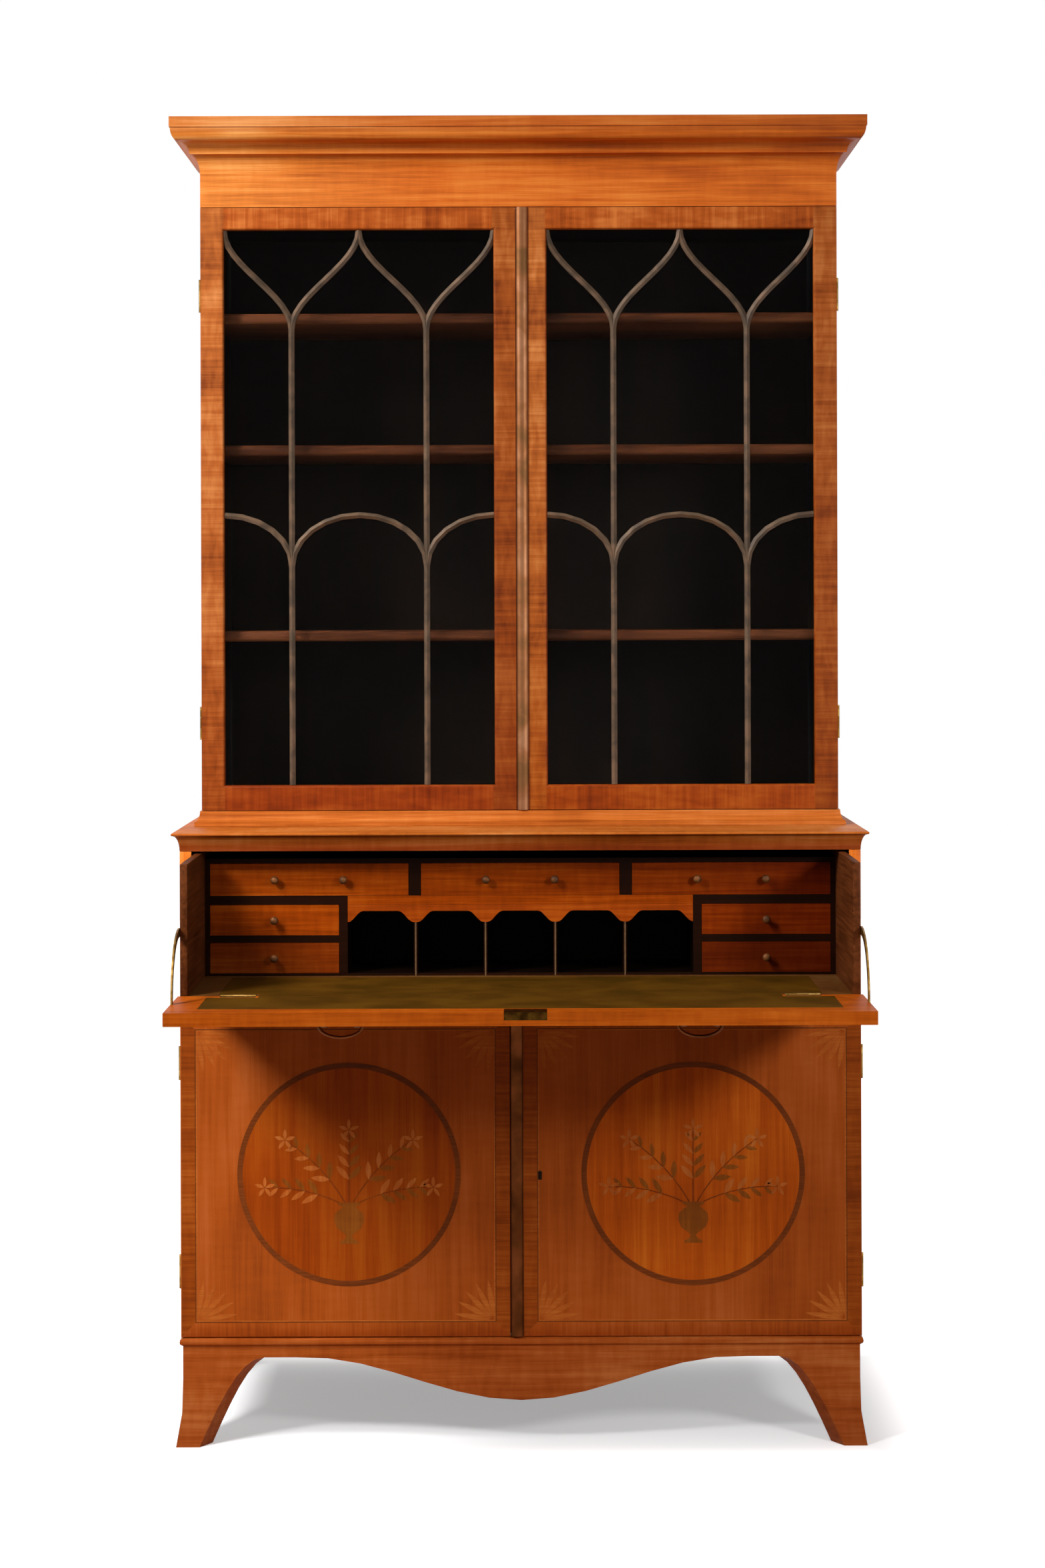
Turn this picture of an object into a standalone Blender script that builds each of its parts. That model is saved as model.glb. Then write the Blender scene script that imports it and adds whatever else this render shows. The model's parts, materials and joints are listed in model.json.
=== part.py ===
"""Secretaire bookcase: a glazed bookcase standing on a cupboard with a writing drawer.

Metres. +X is the right hand of someone facing the case, -Y its front, +Z up. The writing drawer
rests pulled out with its fall lowered, and the origin lies on the floor under the middle of that.
"""
import math

import bmesh
import bpy
from mathutils import Matrix, Vector

# Clearances
GAP = 0.0003             # between pieces that touch
DOOR_GAP = 0.0016        # behind a shut door, where the hinge leaves lie
DOOR_CLEAR = 0.0012      # round a door's edges
SLIDE_CLEAR = 0.0007     # round a small drawer in its cell
FALL_CLEAR = 0.0020      # over and under the shut fall
FALL_SIDE_CLEAR = 0.0010
FALL_RISE = 0.0015       # under the lowered fall, so that it slides in over the dustboard
LIP_GAP = 0.0005         # between the fall's lip and the drawer bottom it stops against

# Lower case
CASE_WIDTH = 1.140
CASE_DEPTH = 0.540
CASE_SIDE = 0.020
CASE_BOARD = 0.018
BACK_PANEL = 0.010
DUST_BOARD = 0.014
RAIL_DEPTH = 0.045
DRAWER_RAIL = 0.0343
TOP_THICK = 0.0309
TOP_OVERHANG = 0.0135
TOP_COVE = 0.0260
TOP_NOSE = 0.0030

# Plinth with splayed bracket feet
PLINTH_HEIGHT = 0.1808
PLINTH_BOARD = 0.020
PLINTH_INSET = 0.003
BEAD_HEIGHT = 0.0140
BEAD_PROUD = 0.0055
FOOT_WIDTH = 0.028
FOOT_FLARE = 0.011
FLARE_HEIGHT = 0.090
BRACKET_SPAN = 0.107
BRACKET_FLAT = 0.072
APRON_SHALLOW = 0.0193
APRON_DEEP = 0.0918
BACK_DROP = 0.110        # how far the back panel hangs below the plinth top

# Cupboard doors
CUPBOARD_DOOR = 0.540
CUPBOARD_THICK = 0.022
DOOR_ARRIS = 0.0012
CUPBOARD_MEET = -0.0178  # where the two doors meet, from the middle
CUPBOARD_HINGE_TOP = 0.084
CUPBOARD_HINGE_LOW = 0.106

# Upper case
UPPER_INSET = 0.020
UPPER_SETBACK = 0.170
UPPER_SIDE = 0.018
UPPER_BOARD = 0.018
WAIST_HEIGHT = 0.0255
WAIST_FLARE = 0.0120
WAIST_TOP = 0.0030
WAIST_FILLET = 0.0070
SHELF = 0.018
SHELF_SETBACK = 0.012
SHELF_GROOVE = 0.006
LOWER_SPACE = 0.300      # clear heights under the three shelves, from the bottom up
MIDDLE_SPACE = 0.305
UPPER_SPACE = 0.211

# Glazed doors
GLAZED_DOOR = 1.041
GLAZED_THICK = 0.022
GLAZED_MEET = -0.0055
STILE = 0.040
LEFT_MEETING_STILE = 0.0375
RIGHT_MEETING_STILE = 0.0535
TOP_RAIL = 0.038
BOTTOM_RAIL = 0.043
SIGHT_MOULD = 0.004
GLASS_REBATE = 0.008
GLASS = 0.003
GLASS_DEPTH = 0.0125     # from the door's face to the rebate
BAR_WIDTH = 0.010
BAR_SHOULDER = 0.004
BAR_SETBACK = 0.002
ARCH_SPRING = 0.378      # above the bottom of the glass
ARCH_RISE = 0.089
OGEE_HEIGHT = 0.172
GLAZED_HINGE_INSET = 0.150

# Meeting strips
ASTRAGAL_WIDTH = 0.021
ASTRAGAL_PROUD = 0.006

# Cornice
FRIEZE_HEIGHT = 0.055
FRIEZE_THICK = 0.020
CAVETTO_HEIGHT = 0.035
CAVETTO_OUT = 0.015
COVE_HEIGHT = 0.020
COVE_OUT = 0.017
OVOLO_HEIGHT = 0.022
OVOLO_OUT = 0.012
CORNICE_STEP = 0.0015
CORNICE_FILLET = 0.018

# Hinges
HINGE_LENGTH = 0.057
HINGE_BARREL = 0.0024
HINGE_PIN = 0.0011
HINGE_BORE = 0.00145
HINGE_LEAF = 0.014

# Writing drawer
DRAWER_PULL = 0.220      # how far it stands out as it rests
DRAWER_SIDE = 0.012
DRAWER_BACK = 0.010
STAY_SPACE = 0.0045      # between the drawer side and the case side
REAR_SPACE = 0.0240
SIDE_CLEAR = 0.0040      # over the drawer sides

# Nest of small drawers and pigeonholes
NEST_SETBACK = 0.275     # behind the fall's hinge line
NEST_BASE = 0.0045
NEST_SIDE = 0.008
NEST_TOP = 0.008
NEST_BACK = 0.006
NEST_SHELF = 0.015
STACK_SHELF = 0.012
STACK_SIDE = 0.014
STACK_WIDTH = 0.219
TOP_DIVIDER = 0.020
TOP_CELL = 0.055
UPPER_CELL = 0.052
LOWER_CELL = 0.052
PARTITION = 0.006
PIGEONHOLES = 5
HEADROOM = 0.0148        # from the nest to the top of the shut fall
TRAY_FRONT = 0.009
TRAY_WALL = 0.005
TRAY_BOTTOM = 0.004
VALANCE = 0.005
VALANCE_DROP = 0.030
VALANCE_CROWN = 0.011
VALANCE_BRACKET = 0.026
KNOB_RADIUS = 0.0065
KNOB_LENGTH = 0.016
KNOB_SPREAD = 0.116      # between the two knobs of a wide drawer
KNOB_PROFILE = (         # shares of the radius and of the length, from the drawer front outwards
    (0.70, -0.06), (0.70, 0.10), (0.48, 0.26), (0.48, 0.40),
    (0.90, 0.58), (1.00, 0.74), (0.78, 0.92), (0.30, 1.00),
)

# Fall
FALL_THICK = 0.021
LIP_THICK = 0.005
LINING = 0.0012
LINING_BORDER = 0.048
LINING_HINGE_BORDER = 0.022
STAY_RADIUS = 0.102
STAY_WIDTH = 0.014
STAY_THICK = 0.0027
STAY_CLEAR = 0.0005
STAY_OVERRUN = math.radians(7)
LOCK_WIDTH = 0.066
LOCK_SHIFT = 0.008       # of the lock, to the right of the fall's middle
LOCK_PLATE = 0.002
LOCK_EDGE = 0.012        # down the fall's front edge
LOCK_CAP = 0.043         # back over the writing side
LOCK_DEPTH = 0.034
LOCK_BODY = 0.054
LOCK_CASE = 0.010
FALL_HINGE_INSET = 0.097 # hinge middles, from the ends of the fall
FALL_HINGE_LEAF = 0.019
FALL_LEAF_THICK = 0.0015

# Bail handles on the fall
BAIL_INSET = 0.267       # bail middles, from the ends of the fall
BAIL_POST_SPREAD = 0.052
BAIL_POST_RADIUS = 0.0055
BAIL_POST_LENGTH = 0.0150
BAIL_POST_SINK = 0.0005  # into the fall's face
BAIL_POST_PROFILE = (    # shares of the radius and of the length, from the fall's face outwards
    (1.60, 0.10), (1.00, 0.22), (1.00, 0.90), (0.70, 1.00),
)
BAIL_PIVOT = 0.0092      # from the fall's face
BAIL_ROD = 0.0025
BAIL_BORE = 0.0029
BAIL_BEND = 0.0030       # centre-line radius where a pin turns into an arm
BAIL_DROP = 0.0220

# Facets of turned and curved forms
SIDES = 10
CURVE_STEPS = 6
BEND_STEPS = 3           # round a small bend
BRACKET_STEPS = 7        # along a plinth bracket
APRON_STEPS = 16         # along a plinth board between its brackets
FACE_STEPS = 3           # up a plinth board to its bead
BEAD_STEPS = 4
SMOOTH_ANGLE = math.radians(40)

# Heights, worked up from the floor
BRACKET_RISE = PLINTH_HEIGHT - BEAD_HEIGHT - APRON_SHALLOW
CUPBOARD_LOW = PLINTH_HEIGHT + DOOR_CLEAR
CUPBOARD_HIGH = CUPBOARD_LOW + CUPBOARD_DOOR
RAIL_LOW = CUPBOARD_HIGH + DOOR_CLEAR
DUST_TOP = RAIL_LOW + DRAWER_RAIL
WRITING = DUST_TOP + FALL_RISE + FALL_THICK
DRAWER_BOTTOM = FALL_THICK - LIP_THICK - LIP_GAP
STACK_LOW = WRITING + NEST_BASE
STACK_MID = STACK_LOW + LOWER_CELL
STACK_UP = STACK_MID + STACK_SHELF
NEST_SHELF_LOW = STACK_UP + UPPER_CELL
TOP_CELL_LOW = NEST_SHELF_LOW + NEST_SHELF
TOP_CELL_HIGH = TOP_CELL_LOW + TOP_CELL
NEST_HIGH = TOP_CELL_HIGH + NEST_TOP
FALL_LENGTH = NEST_HIGH + HEADROOM - WRITING
LIP_LENGTH = WRITING - DUST_TOP - FALL_CLEAR
TOP_LOW = WRITING + FALL_LENGTH + FALL_CLEAR
TOP_HIGH = TOP_LOW + TOP_THICK
DRAWER_HIGH = TOP_LOW - SIDE_CLEAR
UPPER_LOW = TOP_HIGH + GAP
WAIST_HIGH = TOP_HIGH + WAIST_HEIGHT
GLAZED_LOW = WAIST_HIGH + DOOR_CLEAR
GLAZED_HIGH = GLAZED_LOW + GLAZED_DOOR
CORNICE_LOW = GLAZED_HIGH + DOOR_CLEAR
UPPER_HIGH = CORNICE_LOW - GAP

# Widths
CASE_HALF = CASE_WIDTH / 2
CASE_INNER = CASE_HALF - CASE_SIDE
UPPER_HALF = CASE_HALF - UPPER_INSET
UPPER_INNER = UPPER_HALF - UPPER_SIDE
DRAWER_HALF = CASE_INNER - STAY_SPACE
DRAWER_INNER = DRAWER_HALF - DRAWER_SIDE
NEST_HALF = DRAWER_INNER - GAP
CELL_HALF = NEST_HALF - NEST_SIDE
PIGEON_HALF = CELL_HALF - STACK_WIDTH - STACK_SIDE
FALL_HALF = CASE_INNER - FALL_SIDE_CLEAR
FALL_HINGE_X = FALL_HALF - FALL_HINGE_INSET
BAIL_X = FALL_HALF - BAIL_INSET

# Depths, from the front plane of the lower case
FRONT = (DRAWER_PULL + FALL_LENGTH - CASE_DEPTH) / 2
BACK = FRONT + CASE_DEPTH
PANEL_FACE = BACK - BACK_PANEL
CASE_EDGE = FRONT + CUPBOARD_THICK + DOOR_GAP
UPPER_FRONT = FRONT + UPPER_SETBACK
UPPER_EDGE = UPPER_FRONT + GLAZED_THICK + DOOR_GAP
HINGE_LINE = FRONT - DRAWER_PULL
DRAWER_END = HINGE_LINE + CASE_DEPTH - FALL_THICK - BACK_PANEL - REAR_SPACE
NEST_FRONT = HINGE_LINE + NEST_SETBACK
NEST_END = DRAWER_END - DRAWER_BACK - GAP
FALL_EDGE = HINGE_LINE - FALL_LENGTH

LEFT = -1
RIGHT = 1
SIDE_NAMES = {LEFT: "left", RIGHT: "right"}


def clear_scene():
    for old in list(bpy.data.objects):
        bpy.data.objects.remove(old, do_unlink=True)


def finish(name, colour, roughness, metallic):
    """A plain Principled material."""
    material = bpy.data.materials.new(name)
    material.use_nodes = True
    shader = material.node_tree.nodes["Principled BSDF"]
    shader.inputs["Base Color"].default_value = (*colour, 1)
    shader.inputs["Roughness"].default_value = roughness
    shader.inputs["Metallic"].default_value = metallic
    return material


def world_place(pivot):
    """Where a pivot empty stands; no pivot means the origin."""
    place = Vector()
    while pivot:
        place += pivot.location
        pivot = pivot.parent
    return place


def add_pivot(name, place, parent=None):
    """An empty on a joint's axis, for the pieces that move about it."""
    pivot = bpy.data.objects.new(name, None)
    bpy.context.scene.collection.objects.link(pivot)
    pivot.location = Vector(place) - world_place(parent)
    pivot.parent = parent
    return pivot


def make(name, bm, material, pivot=None, smooth=False):
    """Turn a bmesh that is drawn in place into a named piece carried by a pivot."""
    bmesh.ops.recalc_face_normals(bm, faces=bm.faces)
    bmesh.ops.translate(bm, verts=bm.verts, vec=-world_place(pivot))
    mesh = bpy.data.meshes.new(name)
    bm.to_mesh(mesh)
    bm.free()
    if smooth:
        mesh.shade_smooth()
        mesh.set_sharp_from_angle(angle=SMOOTH_ANGLE)
    mesh.materials.append(material)
    piece = bpy.data.objects.new(name, mesh)
    bpy.context.scene.collection.objects.link(piece)
    piece.parent = pivot
    return piece


def combine(piece, operation, bm):
    """Add, cut or trim a piece with a shape that is drawn in place."""
    number = len(piece.modifiers) + 1
    tool = make(f"{piece.name}_shape_{number}", bm, piece.data.materials[0], piece.parent)
    tool.hide_render = True
    tool.display_type = 'WIRE'
    modifier = piece.modifiers.new(operation.title(), 'BOOLEAN')
    modifier.operation = operation
    modifier.solver = 'EXACT'
    modifier.object = tool


def add_box(bm, low, high):
    low = Vector(low)
    high = Vector(high)
    place = Matrix.Translation((low + high) / 2) @ Matrix.Diagonal((*(high - low), 1))
    bmesh.ops.create_cube(bm, size=1, matrix=place)


def box_mesh(*corners):
    """One box for each pair of corners."""
    bm = bmesh.new()
    for low, high in corners:
        add_box(bm, low, high)
    return bm


def prism_mesh(outline, axis, start, end):
    """Extrude an outline, drawn in the two other axes' order, along X, Y or Z."""
    bm = bmesh.new()
    index = "XYZ".index(axis)
    verts = []
    for point in outline:
        place = list(point)
        place.insert(index, start)
        verts.append(bm.verts.new(place))
    face = bm.faces.new(verts)
    moved = bmesh.ops.extrude_face_region(bm, geom=[face])["geom"]
    step = Vector()
    step[index] = end - start
    bmesh.ops.translate(bm, vec=step, verts=[v for v in moved if isinstance(v, bmesh.types.BMVert)])
    return bm


def add_loft(bm, rings, closed=False):
    """Skin rings of equally many points, capped at both ends or closed on themselves."""
    loops = [[bm.verts.new(point) for point in ring] for ring in rings]
    pairs = list(zip(loops, loops[1:]))
    if closed:
        pairs.append((loops[-1], loops[0]))
    else:
        bm.faces.new(loops[0])
        bm.faces.new(loops[-1])
    for first, second in pairs:
        for i in range(len(first)):
            j = (i + 1) % len(first)
            bm.faces.new((first[i], first[j], second[j], second[i]))


def loft_mesh(rings, closed=False):
    bm = bmesh.new()
    add_loft(bm, rings, closed)
    return bm


def flat_ring(x0, x1, y0, y1, z):
    """A level rectangle."""
    return [(x0, y0, z), (x1, y0, z), (x1, y1, z), (x0, y1, z)]


def upright_ring(x0, x1, z0, z1, y):
    """A rectangle facing the front."""
    return [(x0, y, z0), (x1, y, z0), (x1, y, z1), (x0, y, z1)]


def circle(radius, along, centre, axis):
    """A ring of points round an axis through the centre."""
    index = "XYZ".index(axis)
    ring = []
    for k in range(SIDES):
        angle = 2 * math.pi * (k + 0.5) / SIDES
        point = Vector(centre)
        point[index] += along
        point[(index + 1) % 3] += radius * math.cos(angle)
        point[(index + 2) % 3] += radius * math.sin(angle)
        ring.append(point)
    return ring


def add_turned(bm, profile, centre, axis):
    """Turn a profile of (radius, distance along the axis) points."""
    add_loft(bm, [circle(radius, along, centre, axis) for radius, along in profile])


def add_tube(bm, outer, inner, half, centre, axis):
    profile = [(outer, -half), (outer, half), (inner, half), (inner, -half)]
    add_loft(bm, [circle(radius, along, centre, axis) for radius, along in profile], closed=True)


def arc(centre, across, up, start, end, steps=CURVE_STEPS):
    """Points along part of an ellipse, angles in degrees."""
    points = []
    for k in range(steps + 1):
        angle = math.radians(start + (end - start) * k / steps)
        points.append((centre[0] + across * math.cos(angle), centre[1] + up * math.sin(angle)))
    return points


def s_curve(share):
    """From 0 to 1, level at both ends."""
    return (1 - math.cos(math.pi * share)) / 2


def surround_mesh(profile, half, front, back):
    """Run a closed moulding round the left side, the front and the right side, mitred.

    A profile point is (how far out at the sides, how far out at the front, height).
    """
    rings = []
    for side, at_back in ((LEFT, True), (LEFT, False), (RIGHT, False), (RIGHT, True)):
        ring = []
        for side_out, front_out, z in profile:
            y = back if at_back else front - front_out
            ring.append((side * (half + side_out), y, z))
        rings.append(ring)
    return loft_mesh(rings)


# Lower case

def build_lower_case(wood, inner_wood):
    low = PLINTH_HEIGHT + GAP
    high = TOP_LOW - GAP
    outline = [(CASE_EDGE, low), (BACK, low), (BACK, high), (FRONT, high)]
    outline += [(FRONT, RAIL_LOW), (CASE_EDGE, RAIL_LOW)]
    for side, word in SIDE_NAMES.items():
        bm = prism_mesh(outline, 'X', side * CASE_INNER, side * CASE_HALF)
        make(f"base_side_{word}", bm, wood)

    inner = CASE_INNER - GAP
    bm = box_mesh(((-inner, CASE_EDGE, low), (inner, PANEL_FACE - GAP, low + CASE_BOARD)))
    make("base_bottom", bm, inner_wood)
    foot = CASE_HALF - PLINTH_INSET - PLINTH_BOARD - GAP
    foot_low = PLINTH_HEIGHT - BACK_DROP
    outline = [(-foot, foot_low), (foot, foot_low), (foot, low), (inner, low)]
    outline += [(inner, high), (-inner, high), (-inner, low), (-foot, low)]
    make("base_back", prism_mesh(outline, 'Y', PANEL_FACE, BACK), inner_wood)

    board_low = DUST_TOP - DUST_BOARD
    outline = [(FRONT, RAIL_LOW), (FRONT + RAIL_DEPTH, RAIL_LOW), (FRONT + RAIL_DEPTH, board_low)]
    outline += [(PANEL_FACE - GAP, board_low), (PANEL_FACE - GAP, DUST_TOP), (FRONT, DUST_TOP)]
    make("drawer_dustboard", prism_mesh(outline, 'X', -inner, inner), wood)

    cove_out = TOP_OVERHANG - TOP_NOSE
    nose_low = TOP_LOW + TOP_COVE
    nose_half = (TOP_HIGH - nose_low) / 2
    edge = arc((cove_out, TOP_LOW), -cove_out, TOP_COVE, 0, 90)
    edge += arc((cove_out, nose_low + nose_half), TOP_NOSE, nose_half, -90, 90)[1:]
    rings = []
    for out, z in edge:
        rings.append(flat_ring(-CASE_HALF - out, CASE_HALF + out, FRONT - out, BACK, z))
    make("base_top", loft_mesh(rings), wood, smooth=True)


# Plinth boards with splayed feet

def plinth_out(z):
    """How far the plinth's face stands out at a height: the flare of the feet and the bead."""
    if z < FLARE_HEIGHT:
        return FOOT_FLARE * (1 - z / FLARE_HEIGHT) ** 2
    share = (z - (PLINTH_HEIGHT - BEAD_HEIGHT)) / BEAD_HEIGHT
    if share <= 0:
        return 0.0
    return BEAD_PROUD * math.sqrt(max(0.0, 1 - (2 * share - 1) ** 2))


def bracket_edge(reach):
    """Height of a bracket's lower edge at a distance in from the end of the board."""
    share = (reach - FOOT_WIDTH) / BRACKET_SPAN
    return BRACKET_RISE * math.sin(math.pi / 2 * min(1.0, max(0.0, share)))


def front_edge(u, half):
    """Height of the front apron's serpentine lower edge."""
    middle = half - FOOT_WIDTH - BRACKET_SPAN - BRACKET_FLAT
    if abs(u) >= middle:
        return bracket_edge(half - abs(u))
    return BRACKET_RISE - (APRON_DEEP - APRON_SHALLOW) * s_curve(1 - abs(u) / middle)


def board_columns(length):
    """Places along a board: close together over the brackets, wider between them."""
    bracket = FOOT_WIDTH + BRACKET_SPAN
    ends = [0.0]
    ends += [FOOT_WIDTH + BRACKET_SPAN * k / BRACKET_STEPS for k in range(BRACKET_STEPS + 1)]
    run = length - 2 * bracket
    middle = [bracket + run * k / APRON_STEPS for k in range(1, APRON_STEPS)]
    return ends + middle + [length - end for end in reversed(ends)]


def plinth_mesh(length, lower_edge, mitred_end):
    """A plinth board drawn along +X from 0, its face towards -Y, with a mitre at 0.

    The far end is mitred too on the front board and square at the back of a side board.
    """
    bead_low = PLINTH_HEIGHT - BEAD_HEIGHT
    far = length if mitred_end else length - GAP
    faces = []
    for inner in (False, True):
        grid = []
        for place in board_columns(length):
            low = lower_edge(place)
            levels = [low + (bead_low - low) * k / FACE_STEPS for k in range(FACE_STEPS + 1)]
            levels += [bead_low + BEAD_HEIGHT * k / BEAD_STEPS for k in range(1, BEAD_STEPS + 1)]
            column = []
            for z in levels:
                out = -PLINTH_BOARD if inner else plinth_out(z)
                x = place
                if place == 0:
                    x = GAP - out
                elif place == length:
                    x = far - GAP + out if mitred_end else far
                elif inner:
                    start = PLINTH_BOARD + GAP
                    stop = length - start if mitred_end else far
                    x = start + (stop - start) * place / length
                column.append((x, -out, z))
            grid.append(column)
        faces.append(grid)
    rings = [front + list(reversed(back)) for front, back in zip(*faces)]
    return loft_mesh(rings)


def build_plinth(wood):
    half = CASE_HALF - PLINTH_INSET
    front = FRONT + PLINTH_INSET
    bm = plinth_mesh(2 * half, lambda u: front_edge(u - half, half), True)
    bmesh.ops.translate(bm, verts=bm.verts, vec=(-half, front, 0))
    make("plinth_front", bm, wood, smooth=True)

    length = BACK - front
    for side, word in SIDE_NAMES.items():
        bm = plinth_mesh(length, lambda u: bracket_edge(min(u, length - u)), False)
        bmesh.ops.rotate(bm, verts=bm.verts, matrix=Matrix.Rotation(math.pi / 2, 3, 'Z'))
        if side == LEFT:
            bmesh.ops.scale(bm, verts=bm.verts, vec=(-1, 1, 1))
        bmesh.ops.translate(bm, verts=bm.verts, vec=(side * half, front, 0))
        make(f"plinth_{word}", bm, wood, smooth=True)


# Upper case

def shelf_heights():
    """Undersides of the three shelves."""
    z = UPPER_LOW + UPPER_BOARD
    heights = []
    for space in (LOWER_SPACE, MIDDLE_SPACE, UPPER_SPACE):
        heights.append(z + space)
        z += space + SHELF
    return heights


def build_upper_case(wood, inner_wood):
    inner = UPPER_INNER - GAP
    for side, word in SIDE_NAMES.items():
        outer = side * UPPER_HALF
        bm = box_mesh(((side * UPPER_INNER, UPPER_EDGE, UPPER_LOW), (outer, BACK, UPPER_HIGH)))
        piece = make(f"upper_side_{word}", bm, wood)
        grooves = []
        for z in shelf_heights():
            low = (side * (UPPER_INNER - SHELF_GROOVE), UPPER_EDGE + SHELF_SETBACK - GAP, z - GAP)
            high = (side * (UPPER_INNER + SHELF_GROOVE), PANEL_FACE - GAP, z + SHELF + GAP)
            grooves.append((low, high))
        combine(piece, 'DIFFERENCE', box_mesh(*grooves))

    back = PANEL_FACE - GAP
    bm = box_mesh(((-inner, UPPER_EDGE, UPPER_LOW), (inner, back, UPPER_LOW + UPPER_BOARD)))
    make("upper_bottom", bm, inner_wood)
    bm = box_mesh(((-inner, UPPER_EDGE, UPPER_HIGH - UPPER_BOARD), (inner, back, UPPER_HIGH)))
    make("upper_top", bm, inner_wood)
    bm = box_mesh(((-inner, PANEL_FACE, UPPER_LOW), (inner, BACK, UPPER_HIGH)))
    make("upper_back", bm, inner_wood)

    shelf_half = UPPER_INNER + SHELF_GROOVE - GAP
    shelf_front = UPPER_EDGE + SHELF_SETBACK
    for word, z in zip(("lower", "middle", "upper"), shelf_heights()):
        nose = arc((shelf_front + SHELF / 4, z + SHELF / 2), -SHELF / 4, SHELF / 2, -90, 90)
        outline = nose + [(back - GAP, z + SHELF), (back - GAP, z)]
        make(f"shelf_{word}", prism_mesh(outline, 'X', -shelf_half, shelf_half), inner_wood)


def build_mouldings(wood):
    inner_front = GAP - GLAZED_THICK - DOOR_GAP
    low = TOP_HIGH + GAP
    scoop_low = low + WAIST_FILLET
    scoop = WAIST_FLARE - WAIST_TOP
    curve = arc((WAIST_FLARE, WAIST_HIGH), scoop, WAIST_HIGH - scoop_low, 270, 180)
    profile = [(GAP, inner_front, low), (WAIST_FLARE, WAIST_FLARE, low)]
    profile += [(out, out, z) for out, z in curve]
    profile += [(GAP, inner_front, WAIST_HIGH)]
    bm = surround_mesh(profile, UPPER_HALF, UPPER_FRONT, BACK)
    make("waist_moulding", bm, wood, smooth=True)

    z = CORNICE_LOW + FRIEZE_HEIGHT
    edge = [(0, CORNICE_LOW)]
    edge += arc((CAVETTO_OUT, z), -CAVETTO_OUT, CAVETTO_HEIGHT, 0, 90)
    z += CAVETTO_HEIGHT
    out = CAVETTO_OUT + CORNICE_STEP
    edge += arc((out + COVE_OUT, z), -COVE_OUT, COVE_HEIGHT, 0, 90)
    z += COVE_HEIGHT
    out += COVE_OUT + CORNICE_STEP
    edge += arc((out, z + OVOLO_HEIGHT), OVOLO_OUT, OVOLO_HEIGHT, -90, 0)
    z += OVOLO_HEIGHT
    out += OVOLO_OUT + CORNICE_STEP
    edge += [(out, z), (out, z + CORNICE_FILLET), (-FRIEZE_THICK, z + CORNICE_FILLET)]
    edge += [(-FRIEZE_THICK, CORNICE_LOW)]
    profile = [(out, out, z) for out, z in edge]
    bm = surround_mesh(profile, UPPER_HALF, UPPER_FRONT, BACK)
    make("cornice", bm, wood, smooth=True)


# Hinges and doors

def knuckle_profile():
    """Two knuckles on one pin, with room between them for a third."""
    end = HINGE_LENGTH / 2
    inner = HINGE_LENGTH / 6
    profile = [(HINGE_BARREL, -end), (HINGE_BARREL, -inner), (HINGE_PIN, -inner)]
    return profile + [(HINGE_PIN, inner), (HINGE_BARREL, inner), (HINGE_BARREL, end)]


def build_hinge(name, side, x, y, z, brass):
    """The case half of a butt hinge: two knuckles on a pin, each with a leaf behind the door."""
    third = HINGE_LENGTH / 3
    bm = bmesh.new()
    add_turned(bm, knuckle_profile(), (x, y, z), 'Z')
    piece = make(name, bm, brass, smooth=True)
    half = DOOR_GAP / 2 - GAP
    leaves = []
    for step in (-1, 1):
        low = z + step * third - third / 2
        corner = (x - side * HINGE_LEAF, y - half, low + GAP)
        leaves.append((corner, (x - side * HINGE_PIN, y + half, low + third - GAP)))
    combine(piece, 'UNION', box_mesh(*leaves))


def join_knuckles(door, side, x, y, heights):
    """The door half of each hinge: the middle knuckle and its leaf, fixed to the door."""
    half = HINGE_LENGTH / 6 - GAP
    leaf_back = y + DOOR_GAP / 2 - 1.5 * GAP
    leaf_front = y - DOOR_GAP / 2 - GAP
    wall = (HINGE_BARREL + HINGE_BORE) / 2
    leaves = []
    tubes = bmesh.new()
    for z in heights:
        corner = (x - side * HINGE_LEAF, leaf_front, z - half)
        leaves.append((corner, (x - side * wall, leaf_back, z + half)))
        add_tube(tubes, HINGE_BARREL, HINGE_BORE, half, (x, y, z), 'Z')
    combine(door, 'UNION', box_mesh(*leaves))
    combine(door, 'UNION', tubes)


def build_door_hinges(kind, side, half, edge, heights, brass):
    """Hinge a door outside the case side; returns the pivot and the axis."""
    x = side * (half + HINGE_BARREL + GAP)
    y = edge - DOOR_GAP / 2
    word = SIDE_NAMES[side]
    for level, z in zip(("low", "top"), heights):
        build_hinge(f"{kind}_hinge_{word}_{level}", side, x, y, z, brass)
    return add_pivot(f"{kind}_door_{word}_pivot", (x, y, heights[0])), x, y


def build_astragal(name, x, front, low, high, material, pivot):
    """A half-round strip up the meeting edge of the right door."""
    half = ASTRAGAL_WIDTH / 2
    outline = arc((x + half, front - GAP), half, -ASTRAGAL_PROUD, 0, 180, 2 * CURVE_STEPS)
    make(name, prism_mesh(outline, 'Z', low, high), material, pivot, smooth=True)


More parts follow.
